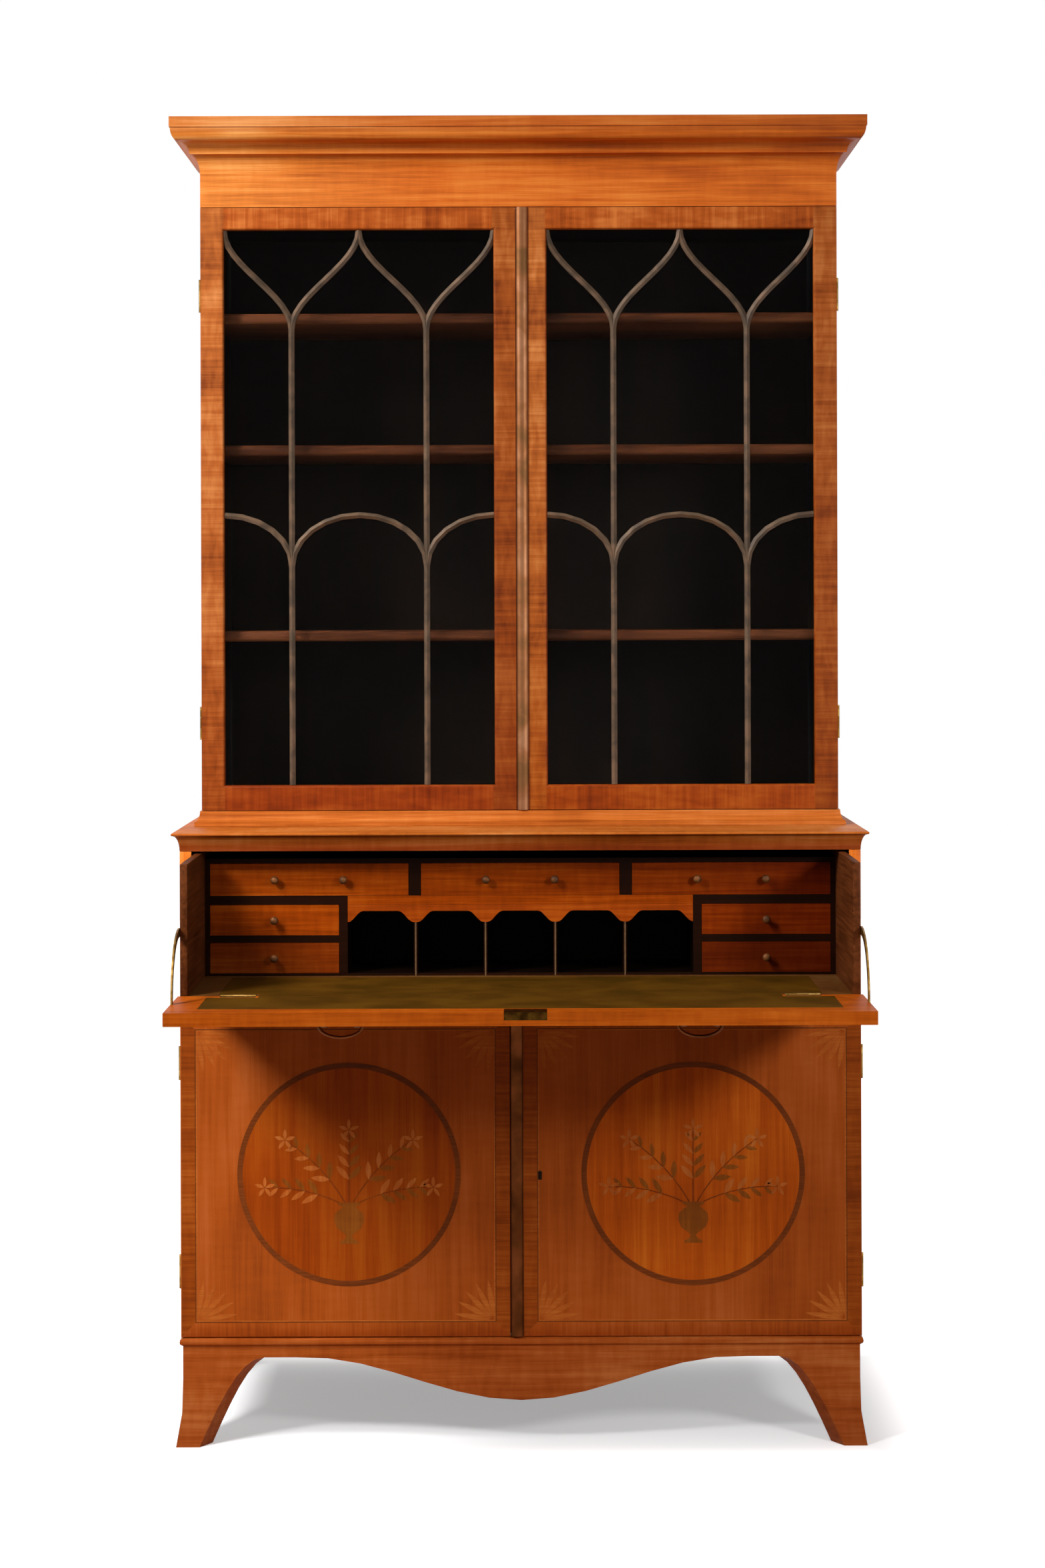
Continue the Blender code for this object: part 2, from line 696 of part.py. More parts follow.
def build_cupboard_doors(wood, brass, strip):
    heights = (CUPBOARD_LOW + CUPBOARD_HINGE_LOW, CUPBOARD_HIGH - CUPBOARD_HINGE_TOP)
    for side, word in SIDE_NAMES.items():
        pivot, x, y = build_door_hinges("cupboard", side, CASE_HALF, CASE_EDGE, heights, brass)
        near = CUPBOARD_MEET - GAP if side == LEFT else CUPBOARD_MEET + GAP
        x0, x1 = sorted((near, side * CASE_HALF))
        rings = []
        for inset, depth in ((DOOR_ARRIS, 0), (0, DOOR_ARRIS), (0, CUPBOARD_THICK)):
            low = CUPBOARD_LOW + inset
            high = CUPBOARD_HIGH - inset
            rings.append(upright_ring(x0 + inset, x1 - inset, low, high, FRONT + depth))
        door = make(f"cupboard_door_{word}", loft_mesh(rings), wood, pivot)
        join_knuckles(door, side, x, y, heights)
    build_astragal("cupboard_astragal", CUPBOARD_MEET + GAP, FRONT, CUPBOARD_LOW + DOOR_ARRIS,
                   CUPBOARD_HIGH - DOOR_ARRIS, strip, pivot)


def bar_rings(path):
    """Rings of a ridged glazing bar along a path of (x, z) points in the plane of the door."""
    face = UPPER_FRONT + BAR_SETBACK
    back = UPPER_FRONT + GLASS_DEPTH - GAP
    section = [(-0.5, back), (0.5, back), (0.5, face + BAR_SHOULDER), (0, face)]
    section += [(-0.5, face + BAR_SHOULDER)]
    points = [Vector(point) for point in path]
    rings = []
    for i, point in enumerate(points):
        before = points[max(i - 1, 0)]
        after = points[min(i + 1, len(points) - 1)]
        along = (after - before).normalized()
        across = Vector((along.y, -along.x)) * BAR_WIDTH
        rings.append([(point.x + across.x * a, y, point.y + across.y * a) for a, y in section])
    return rings


def tracery_paths(x0, x1, z0, z1):
    """Centre lines of the bars in one glazed opening: two uprights, arches and ogee arms."""
    quarter = (x1 - x0) / 4
    middle = (x0 + x1) / 2
    over = BAR_WIDTH / 2
    split = z1 - OGEE_HEIGHT
    spring = z0 + ARCH_SPRING
    steps = 2 * CURVE_STEPS
    paths = []
    for side, wall in ((LEFT, x0), (RIGHT, x1)):
        bar = middle + side * quarter
        arms = []
        for end in (middle, wall):
            arm = []
            for k in range(steps + 1):
                share = k / steps
                arm.append((bar + (end - bar) * s_curve(share), split + OGEE_HEIGHT * share))
            arms.append(arm + [(end, z1 + over)])
        paths.append([(bar, z0 - over)] + arms[0])
        paths.append(arms[1])
        half_arch = arc((wall, spring), bar - wall, ARCH_RISE, 0, 90)
        paths.append(half_arch + [(wall + side * over, spring + ARCH_RISE)])
    paths.append(arc((middle, spring), quarter, ARCH_RISE, 0, 180, steps))
    return paths


def build_tracery(name, x0, x1, z0, z1, material, pivot):
    """The glazing bars of one door, joined where they meet and trimmed to the opening."""
    paths = tracery_paths(x0, x1, z0, z1)
    piece = make(name, loft_mesh(bar_rings(paths[0])), material, pivot)
    for path in paths[1:]:
        combine(piece, 'UNION', loft_mesh(bar_rings(path)))
    low = (x0 + GAP, UPPER_FRONT, z0 + GAP)
    high = (x1 - GAP, UPPER_EDGE, z1 - GAP)
    combine(piece, 'INTERSECT', box_mesh((low, high)))


def build_glazed_doors(wood, bar, glass, brass, strip):
    heights = (GLAZED_LOW + GLAZED_HINGE_INSET, GLAZED_HIGH - GLAZED_HINGE_INSET)
    rebate = UPPER_FRONT + GLASS_DEPTH
    back = UPPER_FRONT + GLAZED_THICK
    for side, word in SIDE_NAMES.items():
        pivot, x, y = build_door_hinges("glazed", side, UPPER_HALF, UPPER_EDGE, heights, brass)
        if side == LEFT:
            outer = (-UPPER_HALF, GLAZED_MEET - GAP, GLAZED_LOW, GLAZED_HIGH)
            sight = (outer[0] + STILE, outer[1] - LEFT_MEETING_STILE)
        else:
            outer = (GLAZED_MEET + GAP, UPPER_HALF, GLAZED_LOW, GLAZED_HIGH)
            sight = (outer[0] + RIGHT_MEETING_STILE, outer[1] - STILE)
        x0, x1 = sight
        z0 = GLAZED_LOW + BOTTOM_RAIL
        z1 = GLAZED_HIGH - TOP_RAIL

        def opening(extra, depth):
            return upright_ring(x0 - extra, x1 + extra, z0 - extra, z1 + extra, depth)

        rings = [upright_ring(*outer, UPPER_FRONT)]
        ovolo = (SIGHT_MOULD, SIGHT_MOULD)
        for out, depth in arc(ovolo, -SIGHT_MOULD, -SIGHT_MOULD, 90, 0, BEND_STEPS):
            rings.append(opening(out, UPPER_FRONT + depth))
        rings += [opening(0, rebate), opening(GLASS_REBATE, rebate), opening(GLASS_REBATE, back)]
        rings.append(upright_ring(*outer, back))
        door = make(f"glazed_door_{word}", loft_mesh(rings, closed=True), wood, pivot)
        join_knuckles(door, side, x, y, heights)

        build_tracery(f"glazing_bars_{word}", x0, x1, z0, z1, bar, pivot)
        inset = GLASS_REBATE - GAP
        low = (x0 - inset, rebate + GAP, z0 - inset)
        high = (x1 + inset, rebate + GAP + GLASS, z1 + inset)
        make(f"glass_{word}", box_mesh((low, high)), glass, pivot)
    build_astragal("glazed_astragal", GLAZED_MEET + GAP, UPPER_FRONT, GLAZED_LOW, GLAZED_HIGH,
                   strip, pivot)


# Writing drawer

def inlay_lining(name, board, half, front, back, material, pivot):
    """Sink a thin lining into the top of a board, level with it."""
    floor = WRITING - LINING
    recess = ((-half - GAP, front - GAP, floor - GAP), (half + GAP, back + GAP, WRITING + LINING))
    combine(board, 'DIFFERENCE', box_mesh(recess))
    make(name, box_mesh(((-half, front, floor), (half, back, WRITING))), material, pivot)


def build_drawer(wood, inner_wood, cloth, brass, pivot):
    low = DUST_TOP + GAP
    front = HINGE_LINE + GAP
    notch = WRITING - DRAWER_BOTTOM
    lip_sweep = HINGE_LINE + math.hypot(LIP_LENGTH, FALL_THICK) + 2 * GAP
    outline = [(front, notch), (lip_sweep, notch), (lip_sweep, low)]
    outline += [(DRAWER_END, low), (DRAWER_END, DRAWER_HIGH), (front, DRAWER_HIGH)]
    for side, word in SIDE_NAMES.items():
        bm = prism_mesh(outline, 'X', side * DRAWER_INNER, side * DRAWER_HALF)
        make(f"drawer_side_{word}", bm, inner_wood, pivot)

    inner = DRAWER_INNER - GAP
    back = DRAWER_END - DRAWER_BACK
    bm = box_mesh(((-inner, back, notch), (inner, DRAWER_END, DRAWER_HIGH)))
    make("drawer_back", bm, inner_wood, pivot)
    bm = box_mesh(((-inner, front, notch), (inner, back - GAP, WRITING)))
    bottom = make("drawer_bottom", bm, wood, pivot)
    bed_front = HINGE_LINE + LINING_HINGE_BORDER
    bed_back = NEST_FRONT - LINING_HINGE_BORDER
    inlay_lining("bed_lining", bottom, inner - LINING_BORDER, bed_front, bed_back, cloth, pivot)
    for side, word in SIDE_NAMES.items():
        build_fall_hinge(f"fall_hinge_{word}", side * FALL_HINGE_X, bottom, brass, pivot)


def build_fall_hinge(name, x, bottom, brass, pivot):
    """The drawer half of a fall hinge, let into the front edge of the drawer bottom."""
    third = HINGE_LENGTH / 3
    room = HINGE_BARREL + 2 * GAP
    bm = bmesh.new()
    add_turned(bm, knuckle_profile(), (x, HINGE_LINE, WRITING), 'X')
    piece = make(name, bm, brass, pivot, smooth=True)
    leaf_end = HINGE_LINE + FALL_HINGE_LEAF
    leaf_low = WRITING - FALL_LEAF_THICK
    leaves = []
    recesses = []
    for step in (-1, 1):
        start = x + step * third - third / 2
        end = start + third
        leaves.append(((start + GAP, HINGE_LINE + HINGE_PIN, leaf_low), (end - GAP, leaf_end, WRITING)))
        recess = (start - GAP, HINGE_LINE, leaf_low - GAP)
        recesses.append((recess, (end + GAP, leaf_end + GAP, WRITING + room)))
    combine(piece, 'UNION', box_mesh(*leaves))
    combine(bottom, 'DIFFERENCE', box_mesh(*recesses))
    half = HINGE_LENGTH / 2 + GAP
    low = (x - half, HINGE_LINE - room, WRITING - room)
    combine(bottom, 'DIFFERENCE', box_mesh((low, (x + half, HINGE_LINE + room, WRITING + room))))


# Nest of small drawers and pigeonholes

def drawer_cells():
    """The cells of the seven small drawers: name, left, right, bottom, top, number of knobs."""
    cells = []
    width = (2 * CELL_HALF - 2 * TOP_DIVIDER) / 3
    for k, word in enumerate(("left", "middle", "right")):
        x = -CELL_HALF + k * (width + TOP_DIVIDER)
        cells.append((f"small_drawer_top_{word}", x, x + width, TOP_CELL_LOW, TOP_CELL_HIGH, 2))
    for side, word in SIDE_NAMES.items():
        x0, x1 = sorted((side * CELL_HALF, side * (CELL_HALF - STACK_WIDTH)))
        cells.append((f"small_drawer_{word}_upper", x0, x1, STACK_UP, NEST_SHELF_LOW, 1))
        cells.append((f"small_drawer_{word}_lower", x0, x1, STACK_LOW, STACK_MID, 1))
    return cells


def pigeonhole_spans():
    """Left and right edges of the pigeonholes."""
    width = (2 * PIGEON_HALF - (PIGEONHOLES - 1) * PARTITION) / PIGEONHOLES
    starts = [-PIGEON_HALF + k * (width + PARTITION) for k in range(PIGEONHOLES)]
    return [(start, start + width) for start in starts]


def build_nest(wood, pivot):
    low = (-NEST_HALF, NEST_FRONT, WRITING + GAP)
    bm = box_mesh((low, (NEST_HALF, NEST_END, NEST_HIGH)))
    frame = make("nest_frame", bm, wood, pivot)
    front = NEST_FRONT - GAP
    back = NEST_END - NEST_BACK
    hollows = []
    for _, x0, x1, z0, z1, _ in drawer_cells():
        hollows.append(((x0, front, z0), (x1, back, z1)))
    for x0, x1 in pigeonhole_spans():
        hollows.append(((x0, front, STACK_LOW), (x1, back, NEST_SHELF_LOW)))
    combine(frame, 'DIFFERENCE', box_mesh(*hollows))
    low = (-PIGEON_HALF, front, NEST_SHELF_LOW - VALANCE_DROP - GAP)
    slot = (low, (PIGEON_HALF, NEST_FRONT + VALANCE + GAP, NEST_SHELF_LOW))
    combine(frame, 'DIFFERENCE', box_mesh(slot))

    top = NEST_SHELF_LOW - GAP
    low = NEST_SHELF_LOW - VALANCE_DROP
    crown = NEST_SHELF_LOW - VALANCE_CROWN
    outline = [(PIGEON_HALF - GAP, top), (GAP - PIGEON_HALF, top), (GAP - PIGEON_HALF, low)]
    for x0, x1 in pigeonhole_spans():
        for start, turn in ((x0 + GAP, 1), (x1 - GAP, -1)):
            bracket = []
            for k in range(CURVE_STEPS + 1):
                share = k / CURVE_STEPS
                x = start + turn * VALANCE_BRACKET * share
                bracket.append((x, low + (crown - low) * s_curve(share)))
            outline += bracket if turn == 1 else bracket[::-1]
    outline += [(PIGEON_HALF - GAP, low)]
    outline = [point for k, point in enumerate(outline) if point != outline[k - 1]]
    bm = prism_mesh(outline, 'Y', NEST_FRONT, NEST_FRONT + VALANCE)
    make("pigeonhole_valance", bm, wood, pivot)


def build_small_drawers(wood, parent):
    profile = [(KNOB_RADIUS * wide, -KNOB_LENGTH * along) for wide, along in KNOB_PROFILE]
    back = NEST_END - NEST_BACK - SLIDE_CLEAR
    for name, x0, x1, z0, z1, knobs in drawer_cells():
        middle = (x0 + x1) / 2
        centre = (z0 + z1) / 2
        pivot = add_pivot(f"{name}_pivot", (middle, NEST_FRONT, centre), parent)
        x0 += SLIDE_CLEAR
        x1 -= SLIDE_CLEAR
        z0 += GAP
        z1 -= SLIDE_CLEAR
        inside = (x0 + TRAY_WALL, x1 - TRAY_WALL, NEST_FRONT + TRAY_FRONT, back - TRAY_WALL)
        rings = [flat_ring(x0, x1, NEST_FRONT, back, z) for z in (z0, z1)]
        rings += [flat_ring(*inside, z) for z in (z1, z0 + TRAY_BOTTOM)]
        tray = make(name, loft_mesh(rings), wood, pivot)
        bm = bmesh.new()
        for k in range(knobs):
            x = middle + (k - (knobs - 1) / 2) * KNOB_SPREAD
            add_turned(bm, profile, (x, NEST_FRONT, centre), 'Y')
        combine(tray, 'UNION', bm)


# Fall

def build_fall(wood, cloth, brass, iron, drawer_pivot):
    pivot = add_pivot("fall_pivot", (0, HINGE_LINE, WRITING), drawer_pivot)
    rear = HINGE_LINE - GAP
    low = WRITING - FALL_THICK
    lip = low + LIP_THICK
    outline = [(FALL_EDGE, WRITING), (FALL_EDGE, low), (HINGE_LINE + LIP_LENGTH, low)]
    outline += [(HINGE_LINE + LIP_LENGTH, lip), (rear, lip), (rear, WRITING)]
    fall = make("fall_front", prism_mesh(outline, 'X', -FALL_HALF, FALL_HALF), wood, pivot)
    half = FALL_HALF - LINING_BORDER
    lining_back = HINGE_LINE - LINING_HINGE_BORDER
    inlay_lining("writing_lining", fall, half, FALL_EDGE + LINING_BORDER, lining_back, cloth, pivot)
    build_lock(fall, iron, pivot)
    join_fall_knuckles(fall)
    build_stays(brass, pivot)
    build_bails(fall, brass, pivot)


def lock_plate(extra):
    """The lock's edge plate and cap, bent from one strip, or with extra room the recess for them."""
    edge = FALL_EDGE - extra
    top = WRITING + extra
    low = WRITING - LOCK_EDGE - extra
    under = WRITING - LOCK_PLATE - extra
    behind = FALL_EDGE + LOCK_PLATE + extra
    cap = FALL_EDGE + LOCK_CAP + extra
    outline = [(edge, top), (edge, low), (behind, low), (behind, under), (cap, under), (cap, top)]
    half = LOCK_WIDTH / 2 + extra
    return prism_mesh(outline, 'X', LOCK_SHIFT - half, LOCK_SHIFT + half)


def lock_case(extra):
    """The lock's case under the cap, or with extra room the mortise for it."""
    half = LOCK_BODY / 2 + extra
    low = (LOCK_SHIFT - half, FALL_EDGE + LOCK_PLATE / 2, WRITING - LOCK_CASE - extra)
    high = (LOCK_SHIFT + half, FALL_EDGE + LOCK_DEPTH + extra, WRITING - LOCK_PLATE / 2)
    return box_mesh((low, high))


def build_lock(fall, iron, pivot):
    combine(fall, 'DIFFERENCE', lock_plate(GAP))
    combine(fall, 'DIFFERENCE', lock_case(GAP))
    lock = make("fall_lock", lock_plate(0), iron, pivot)
    combine(lock, 'UNION', lock_case(0))


def join_fall_knuckles(fall):
    """The fall half of each fall hinge: the middle knuckle and its leaf, let into the edge."""
    room = HINGE_BARREL + 2 * GAP
    half = HINGE_LENGTH / 2 + GAP
    third = HINGE_LENGTH / 6 - GAP
    wall = (HINGE_BARREL + HINGE_BORE) / 2
    notches = []
    leaves = []
    tubes = bmesh.new()
    for side in SIDE_NAMES:
        x = side * FALL_HINGE_X
        low = (x - half, HINGE_LINE - room, WRITING - room)
        notches.append((low, (x + half, HINGE_LINE + room, WRITING + room)))
        low = (x - third, HINGE_LINE - FALL_HINGE_LEAF, WRITING - FALL_LEAF_THICK - GAP)
        leaves.append((low, (x + third, HINGE_LINE - wall, WRITING - GAP)))
        add_tube(tubes, HINGE_BARREL, HINGE_BORE, third, (x, HINGE_LINE, WRITING), 'X')
    combine(fall, 'DIFFERENCE', box_mesh(*notches))
    combine(fall, 'UNION', box_mesh(*leaves))
    combine(fall, 'UNION', tubes)


def build_stays(brass, pivot):
    """Quadrant stays that stand on the ends of the fall and pass outside the drawer sides."""
    outer = STAY_RADIUS + STAY_WIDTH / 2
    inner = STAY_RADIUS - STAY_WIDTH / 2
    outline = []
    for radius, order in ((outer, 1), (inner, -1)):
        foot = math.asin(GAP / radius)
        end = math.pi / 2 + STAY_OVERRUN
        points = []
        for k in range(2 * CURVE_STEPS + 1):
            angle = foot + (end - foot) * k / (2 * CURVE_STEPS)
            points.append((HINGE_LINE - radius * math.cos(angle), WRITING + radius * math.sin(angle)))
        outline += points[::order]
    for side, word in SIDE_NAMES.items():
        x = side * (DRAWER_HALF + STAY_CLEAR)
        make(f"quadrant_stay_{word}", prism_mesh(outline, 'X', x, x + side * STAY_THICK), brass, pivot)


def bail_path(x, z):
    """Centre line of a bail: in through one post, down, across and back up to the other."""
    post = BAIL_POST_SPREAD / 2
    bend = BAIL_BEND
    arm = post + BAIL_POST_RADIUS + GAP + bend
    pin = post - BAIL_POST_RADIUS
    path = [(-pin, 0)] + arc((bend - arm, -bend), -bend, bend, 90, 0, BEND_STEPS)
    path += arc((0, -bend), -arm, bend - BAIL_DROP, 0, 180, 2 * CURVE_STEPS)[1:-1]
    path += arc((arm - bend, -bend), bend, bend, 0, 90, BEND_STEPS) + [(pin, 0)]
    return [(x + across, z + up) for across, up in path]


def rod_mesh(path, y, radius):
    """A round rod along a path of (x, z) points."""
    points = [Vector(point) for point in path]
    rings = []
    for i, point in enumerate(points):
        along = (points[min(i + 1, len(points) - 1)] - points[max(i - 1, 0)]).normalized()
        ring = []
        for k in range(SIDES):
            angle = 2 * math.pi * k / SIDES
            across = radius * math.cos(angle)
            depth = y + radius * math.sin(angle)
            ring.append((point.x - along.y * across, depth, point.y + along.x * across))
        rings.append(ring)
    return loft_mesh(rings)


def build_bails(fall, brass, fall_pivot):
    """Posts fixed to the fall's face and the bail that swings in each pair of them."""
    face = WRITING - FALL_THICK
    y = HINGE_LINE - FALL_LENGTH / 2
    axis = face - BAIL_PIVOT
    radius = BAIL_POST_RADIUS
    profile = [(radius * wide, -BAIL_POST_LENGTH * along) for wide, along in BAIL_POST_PROFILE]
    profile.insert(0, (profile[0][0], BAIL_POST_SINK))
    posts = bmesh.new()
    bores = bmesh.new()
    for side, word in SIDE_NAMES.items():
        x = side * BAIL_X
        for end in (-1, 1):
            post = x + end * BAIL_POST_SPREAD / 2
            add_turned(posts, profile, (post, y, face), 'Z')
            bore = [(BAIL_BORE, -2 * radius), (BAIL_BORE, 2 * radius)]
            add_turned(bores, bore, (post, y, axis), 'X')
        pivot = add_pivot(f"bail_{word}_pivot", (x, y, axis), fall_pivot)
        make(f"bail_{word}", rod_mesh(bail_path(x, axis), y, BAIL_ROD), brass, pivot, smooth=True)
    combine(fall, 'UNION', posts)
    combine(fall, 'DIFFERENCE', bores)


def build():
    clear_scene()
    satinwood = finish("satinwood", (0.62, 0.23, 0.045), 0.32, 0.0)
    inner_wood = finish("mahogany", (0.20, 0.062, 0.020), 0.45, 0.0)
    brass = finish("brass", (0.52, 0.36, 0.13), 0.35, 1.0)
    strip = finish("aged_brass", (0.36, 0.27, 0.13), 0.42, 1.0)
    iron = finish("dark_iron", (0.06, 0.05, 0.045), 0.50, 1.0)
    bar = finish("gilt_bar", (0.34, 0.29, 0.22), 0.45, 0.6)
    glass = finish("glass", (0.85, 0.90, 0.88), 0.03, 0.0)
    cloth = finish("green_lining", (0.12, 0.12, 0.045), 0.85, 0.0)

    build_lower_case(satinwood, inner_wood)
    build_plinth(satinwood)
    build_upper_case(satinwood, inner_wood)
    build_mouldings(satinwood)
    build_cupboard_doors(satinwood, brass, strip)
    build_glazed_doors(satinwood, bar, glass, brass, strip)

    drawer_pivot = add_pivot("writing_drawer_pivot", (0, HINGE_LINE, WRITING))
    build_drawer(satinwood, inner_wood, cloth, brass, drawer_pivot)
    build_nest(satinwood, drawer_pivot)
    build_small_drawers(satinwood, drawer_pivot)
    build_fall(satinwood, cloth, brass, iron, drawer_pivot)


build()
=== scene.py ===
# %% [markdown]
# # A secretaire bookcase, dressed for its portrait
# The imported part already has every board, door, drawer and hinge in its place. This lesson gives those
# solids the looks of old polished satinwood, and adds what is too thin or too fine for them: the inlay
# of the cupboard doors, the brass knobs, the hinge plates with their screws. Each new piece is drawn
# where it belongs, in metres, and is told which moving body it rides on.

# %% Load the part and keep its box
import json
import math

import bmesh
import bpy
from mathutils import Matrix, Vector

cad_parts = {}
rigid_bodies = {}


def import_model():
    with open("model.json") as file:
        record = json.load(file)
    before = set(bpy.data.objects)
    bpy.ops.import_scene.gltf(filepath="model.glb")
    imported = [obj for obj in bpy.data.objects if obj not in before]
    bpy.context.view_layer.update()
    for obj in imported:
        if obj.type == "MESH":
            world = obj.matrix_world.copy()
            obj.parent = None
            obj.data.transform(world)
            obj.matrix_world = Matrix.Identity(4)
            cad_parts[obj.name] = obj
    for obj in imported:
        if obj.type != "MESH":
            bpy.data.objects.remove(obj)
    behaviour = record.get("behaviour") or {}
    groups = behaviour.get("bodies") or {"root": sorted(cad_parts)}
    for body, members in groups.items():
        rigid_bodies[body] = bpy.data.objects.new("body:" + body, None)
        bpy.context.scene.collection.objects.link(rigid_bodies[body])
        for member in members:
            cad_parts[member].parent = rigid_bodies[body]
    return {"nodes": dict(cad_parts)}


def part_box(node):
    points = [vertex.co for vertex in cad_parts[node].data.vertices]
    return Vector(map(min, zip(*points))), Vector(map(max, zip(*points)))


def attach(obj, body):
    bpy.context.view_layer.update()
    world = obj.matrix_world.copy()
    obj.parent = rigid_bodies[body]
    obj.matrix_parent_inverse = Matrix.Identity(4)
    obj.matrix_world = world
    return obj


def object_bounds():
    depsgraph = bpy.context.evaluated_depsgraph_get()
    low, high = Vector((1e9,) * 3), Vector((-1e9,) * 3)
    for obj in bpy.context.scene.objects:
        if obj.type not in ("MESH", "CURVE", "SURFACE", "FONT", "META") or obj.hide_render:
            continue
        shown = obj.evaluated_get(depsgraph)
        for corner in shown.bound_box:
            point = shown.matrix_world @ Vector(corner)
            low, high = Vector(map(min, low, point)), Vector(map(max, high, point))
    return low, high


for old in list(bpy.data.objects):
    bpy.data.objects.remove(old)
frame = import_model()
nodes = frame["nodes"]
cad_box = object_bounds()

# %% [markdown]
# ## Planes to build on
# A piece of inlay has to lie on a face, and a knob has to stand on one, so the faces are read from the
# part instead of being typed again. If the part changes, the pieces follow it.

# %% Read the faces that carry the new pieces
MM = 0.001
SIDES = {"left": -1, "right": 1}


def both(*words):
    """The names of the left and the right node of each word."""
    return [f"{word}_{side}" for word in words for side in SIDES]


DOOR_FACE, DOOR_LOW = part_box("cupboard_door_left")[0].yz
DOOR_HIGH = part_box("cupboard_door_left")[1].z
CASE_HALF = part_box("base_side_right")[1].x
UPPER_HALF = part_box("upper_side_right")[1].x
UPPER_FACE, FRAME_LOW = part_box("glazed_door_left")[0].yz
NEST_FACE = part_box("nest_frame")[0].y
PIGEON_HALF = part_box("pigeonhole_valance")[1].x
TOP_DRAWER_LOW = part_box("small_drawer_top_left")[0].z
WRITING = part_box("writing_lining")[1].z
FALL_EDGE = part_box("fall_lock")[0].y
FALL_THICK = 21 * MM
FALL_FACE = WRITING - FALL_THICK
KNUCKLE_RADIUS = 2.2 * MM
HINGE_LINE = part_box("fall_hinge_left")[0].y + KNUCKLE_RADIUS
TOP_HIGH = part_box("base_top")[1].z
print("door face", round(DOOR_FACE, 4), "writing surface", round(WRITING, 4))

# %% [markdown]
# ## Colours and nodes
# Colours are written as the hex values that a screen shows, and one function turns them into the linear
# light that the renderer works in. A second one fills the sockets of a node, with plain values or with
# links from sockets or from nodes, whose first output is taken. A third adds a node with its settings and
# sockets, and three short ones add the nodes that are used most: a sum, the axes of a place, and a ramp of
# tones spread evenly about its middle.

# %% Helpers for every finish
TONE_SPREAD = 0.13


def linear(hex_colour):
    """An sRGB hex colour as linear red, green, blue and alpha."""
    shares = [int(hex_colour[i:i + 2], 16) / 255 for i in (1, 3, 5)]
    light = [s / 12.92 if s <= 0.04045 else ((s + 0.055) / 1.055) ** 2.4 for s in shares]
    return (*light, 1.0)


def fill(node, sockets):
    """Set sockets to plain values, or link them from sockets or from the first outputs of nodes."""
    for name, value in sockets.items():
        if isinstance(value, bpy.types.Node):
            value = value.outputs[0]
        if isinstance(value, bpy.types.NodeSocket):
            node.id_data.links.new(value, node.inputs[name])
        else:
            node.inputs[name].default_value = value


def add_node(tree, kind, sockets=None, **settings):
    """Add a node with its settings, and fill or link its sockets."""
    made = tree.nodes.new(kind)
    for name, value in settings.items():
        setattr(made, name, value)
    fill(made, sockets or {})
    return made


def maths(tree, operation, *values):
    """A sum, a product, a comparison and so on."""
    return add_node(tree, "ShaderNodeMath", dict(enumerate(values)), operation=operation)


def split(tree, place):
    """The X, Y and Z of a place."""
    return add_node(tree, "ShaderNodeSeparateXYZ", {0: place}).outputs


def ramp(tree, value, tones):
    """Tones that follow a value."""
    made = add_node(tree, "ShaderNodeValToRGB", {0: value})
    steps = made.color_ramp.elements
    for k, tone in enumerate(tones):
        step = steps[k] if k < len(steps) else steps.new(1.0)
        step.position = 0.5 + TONE_SPREAD * (2 * k / (len(tones) - 1) - 1)
        step.color = linear(tone)
    return made


def new_finish(name, **constants):
    """A material with constant shader sockets; gives its tree, shader and Object coordinates too."""
    material = bpy.data.materials.new(name)
    material.use_nodes = True
    tree = material.node_tree
    shader = tree.nodes["Principled BSDF"]
    fill(shader, {socket.replace("_", " "): value for socket, value in constants.items()})
    place = add_node(tree, "ShaderNodeTexCoord").outputs["Object"]
    return material, tree, shader, place


print("orange in linear light:", [round(v, 3) for v in linear("#c8692c")])

# %% [markdown]
# ## Which way the grain runs
# Veneer is wood, so the first thing the eye reads is the direction of its fibres. Every wood below is
# drawn with the fibres along the Z axis of a vector, and these functions turn the Object coordinates so
# that this axis lies along the board: upright on the case sides, across on the top, round the corner
# on a mitred moulding. A glazed door is crossbanded: its veneer runs across each stile and rail.

# %% Lay the grain along a board, round a mitre or round a frame
def along(axis):
    """Grain along X, Y or Z."""
    def lay(tree, place):
        parts = split(tree, place)
        order = [name for name in "XYZ" if name != axis] + [axis]
        return add_node(tree, "ShaderNodeCombineXYZ", {i: parts[name] for i, name in enumerate(order)})
    return lay


def where(tree, place, limits):
    """1 where every limit holds: x_over is the distance from the middle, z_under a height, and so on."""
    parts = split(tree, place)
    mask = 1.0
    for rule, limit in limits.items():
        axis, side = rule.upper().split("_")
        value = maths(tree, 'ABSOLUTE', parts[axis]) if axis == "X" else parts[axis]
        test = maths(tree, 'GREATER_THAN' if side == "OVER" else 'LESS_THAN', value, limit)
        mask = maths(tree, 'MULTIPLY', test, mask)
    return mask


def either(tree, place, mask, first, second):
    """Grain along a first axis, and along a second one where a mask is 1."""
    sockets = {0: mask, 4: along(first)(tree, place), 5: along(second)(tree, place)}
    return add_node(tree, "ShaderNodeMix", sockets, data_type='VECTOR').outputs[1]


def mitred(tree, place):
    """Along the front of a moulding, and along its returns past the mitre."""
    parts = split(tree, place)
    reach = maths(tree, 'ADD', maths(tree, 'ABSOLUTE', parts["X"]), parts["Y"])
    returns = maths(tree, 'GREATER_THAN', reach, UPPER_HALF + UPPER_FACE)
    return either(tree, place, returns, "X", "Y")


STILE = 40 * MM
MEETING_STILE = 46 * MM
RAIL = 41 * MM
TOP_RAIL = 38 * MM
FRAME_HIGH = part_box("glazed_door_left")[1].z


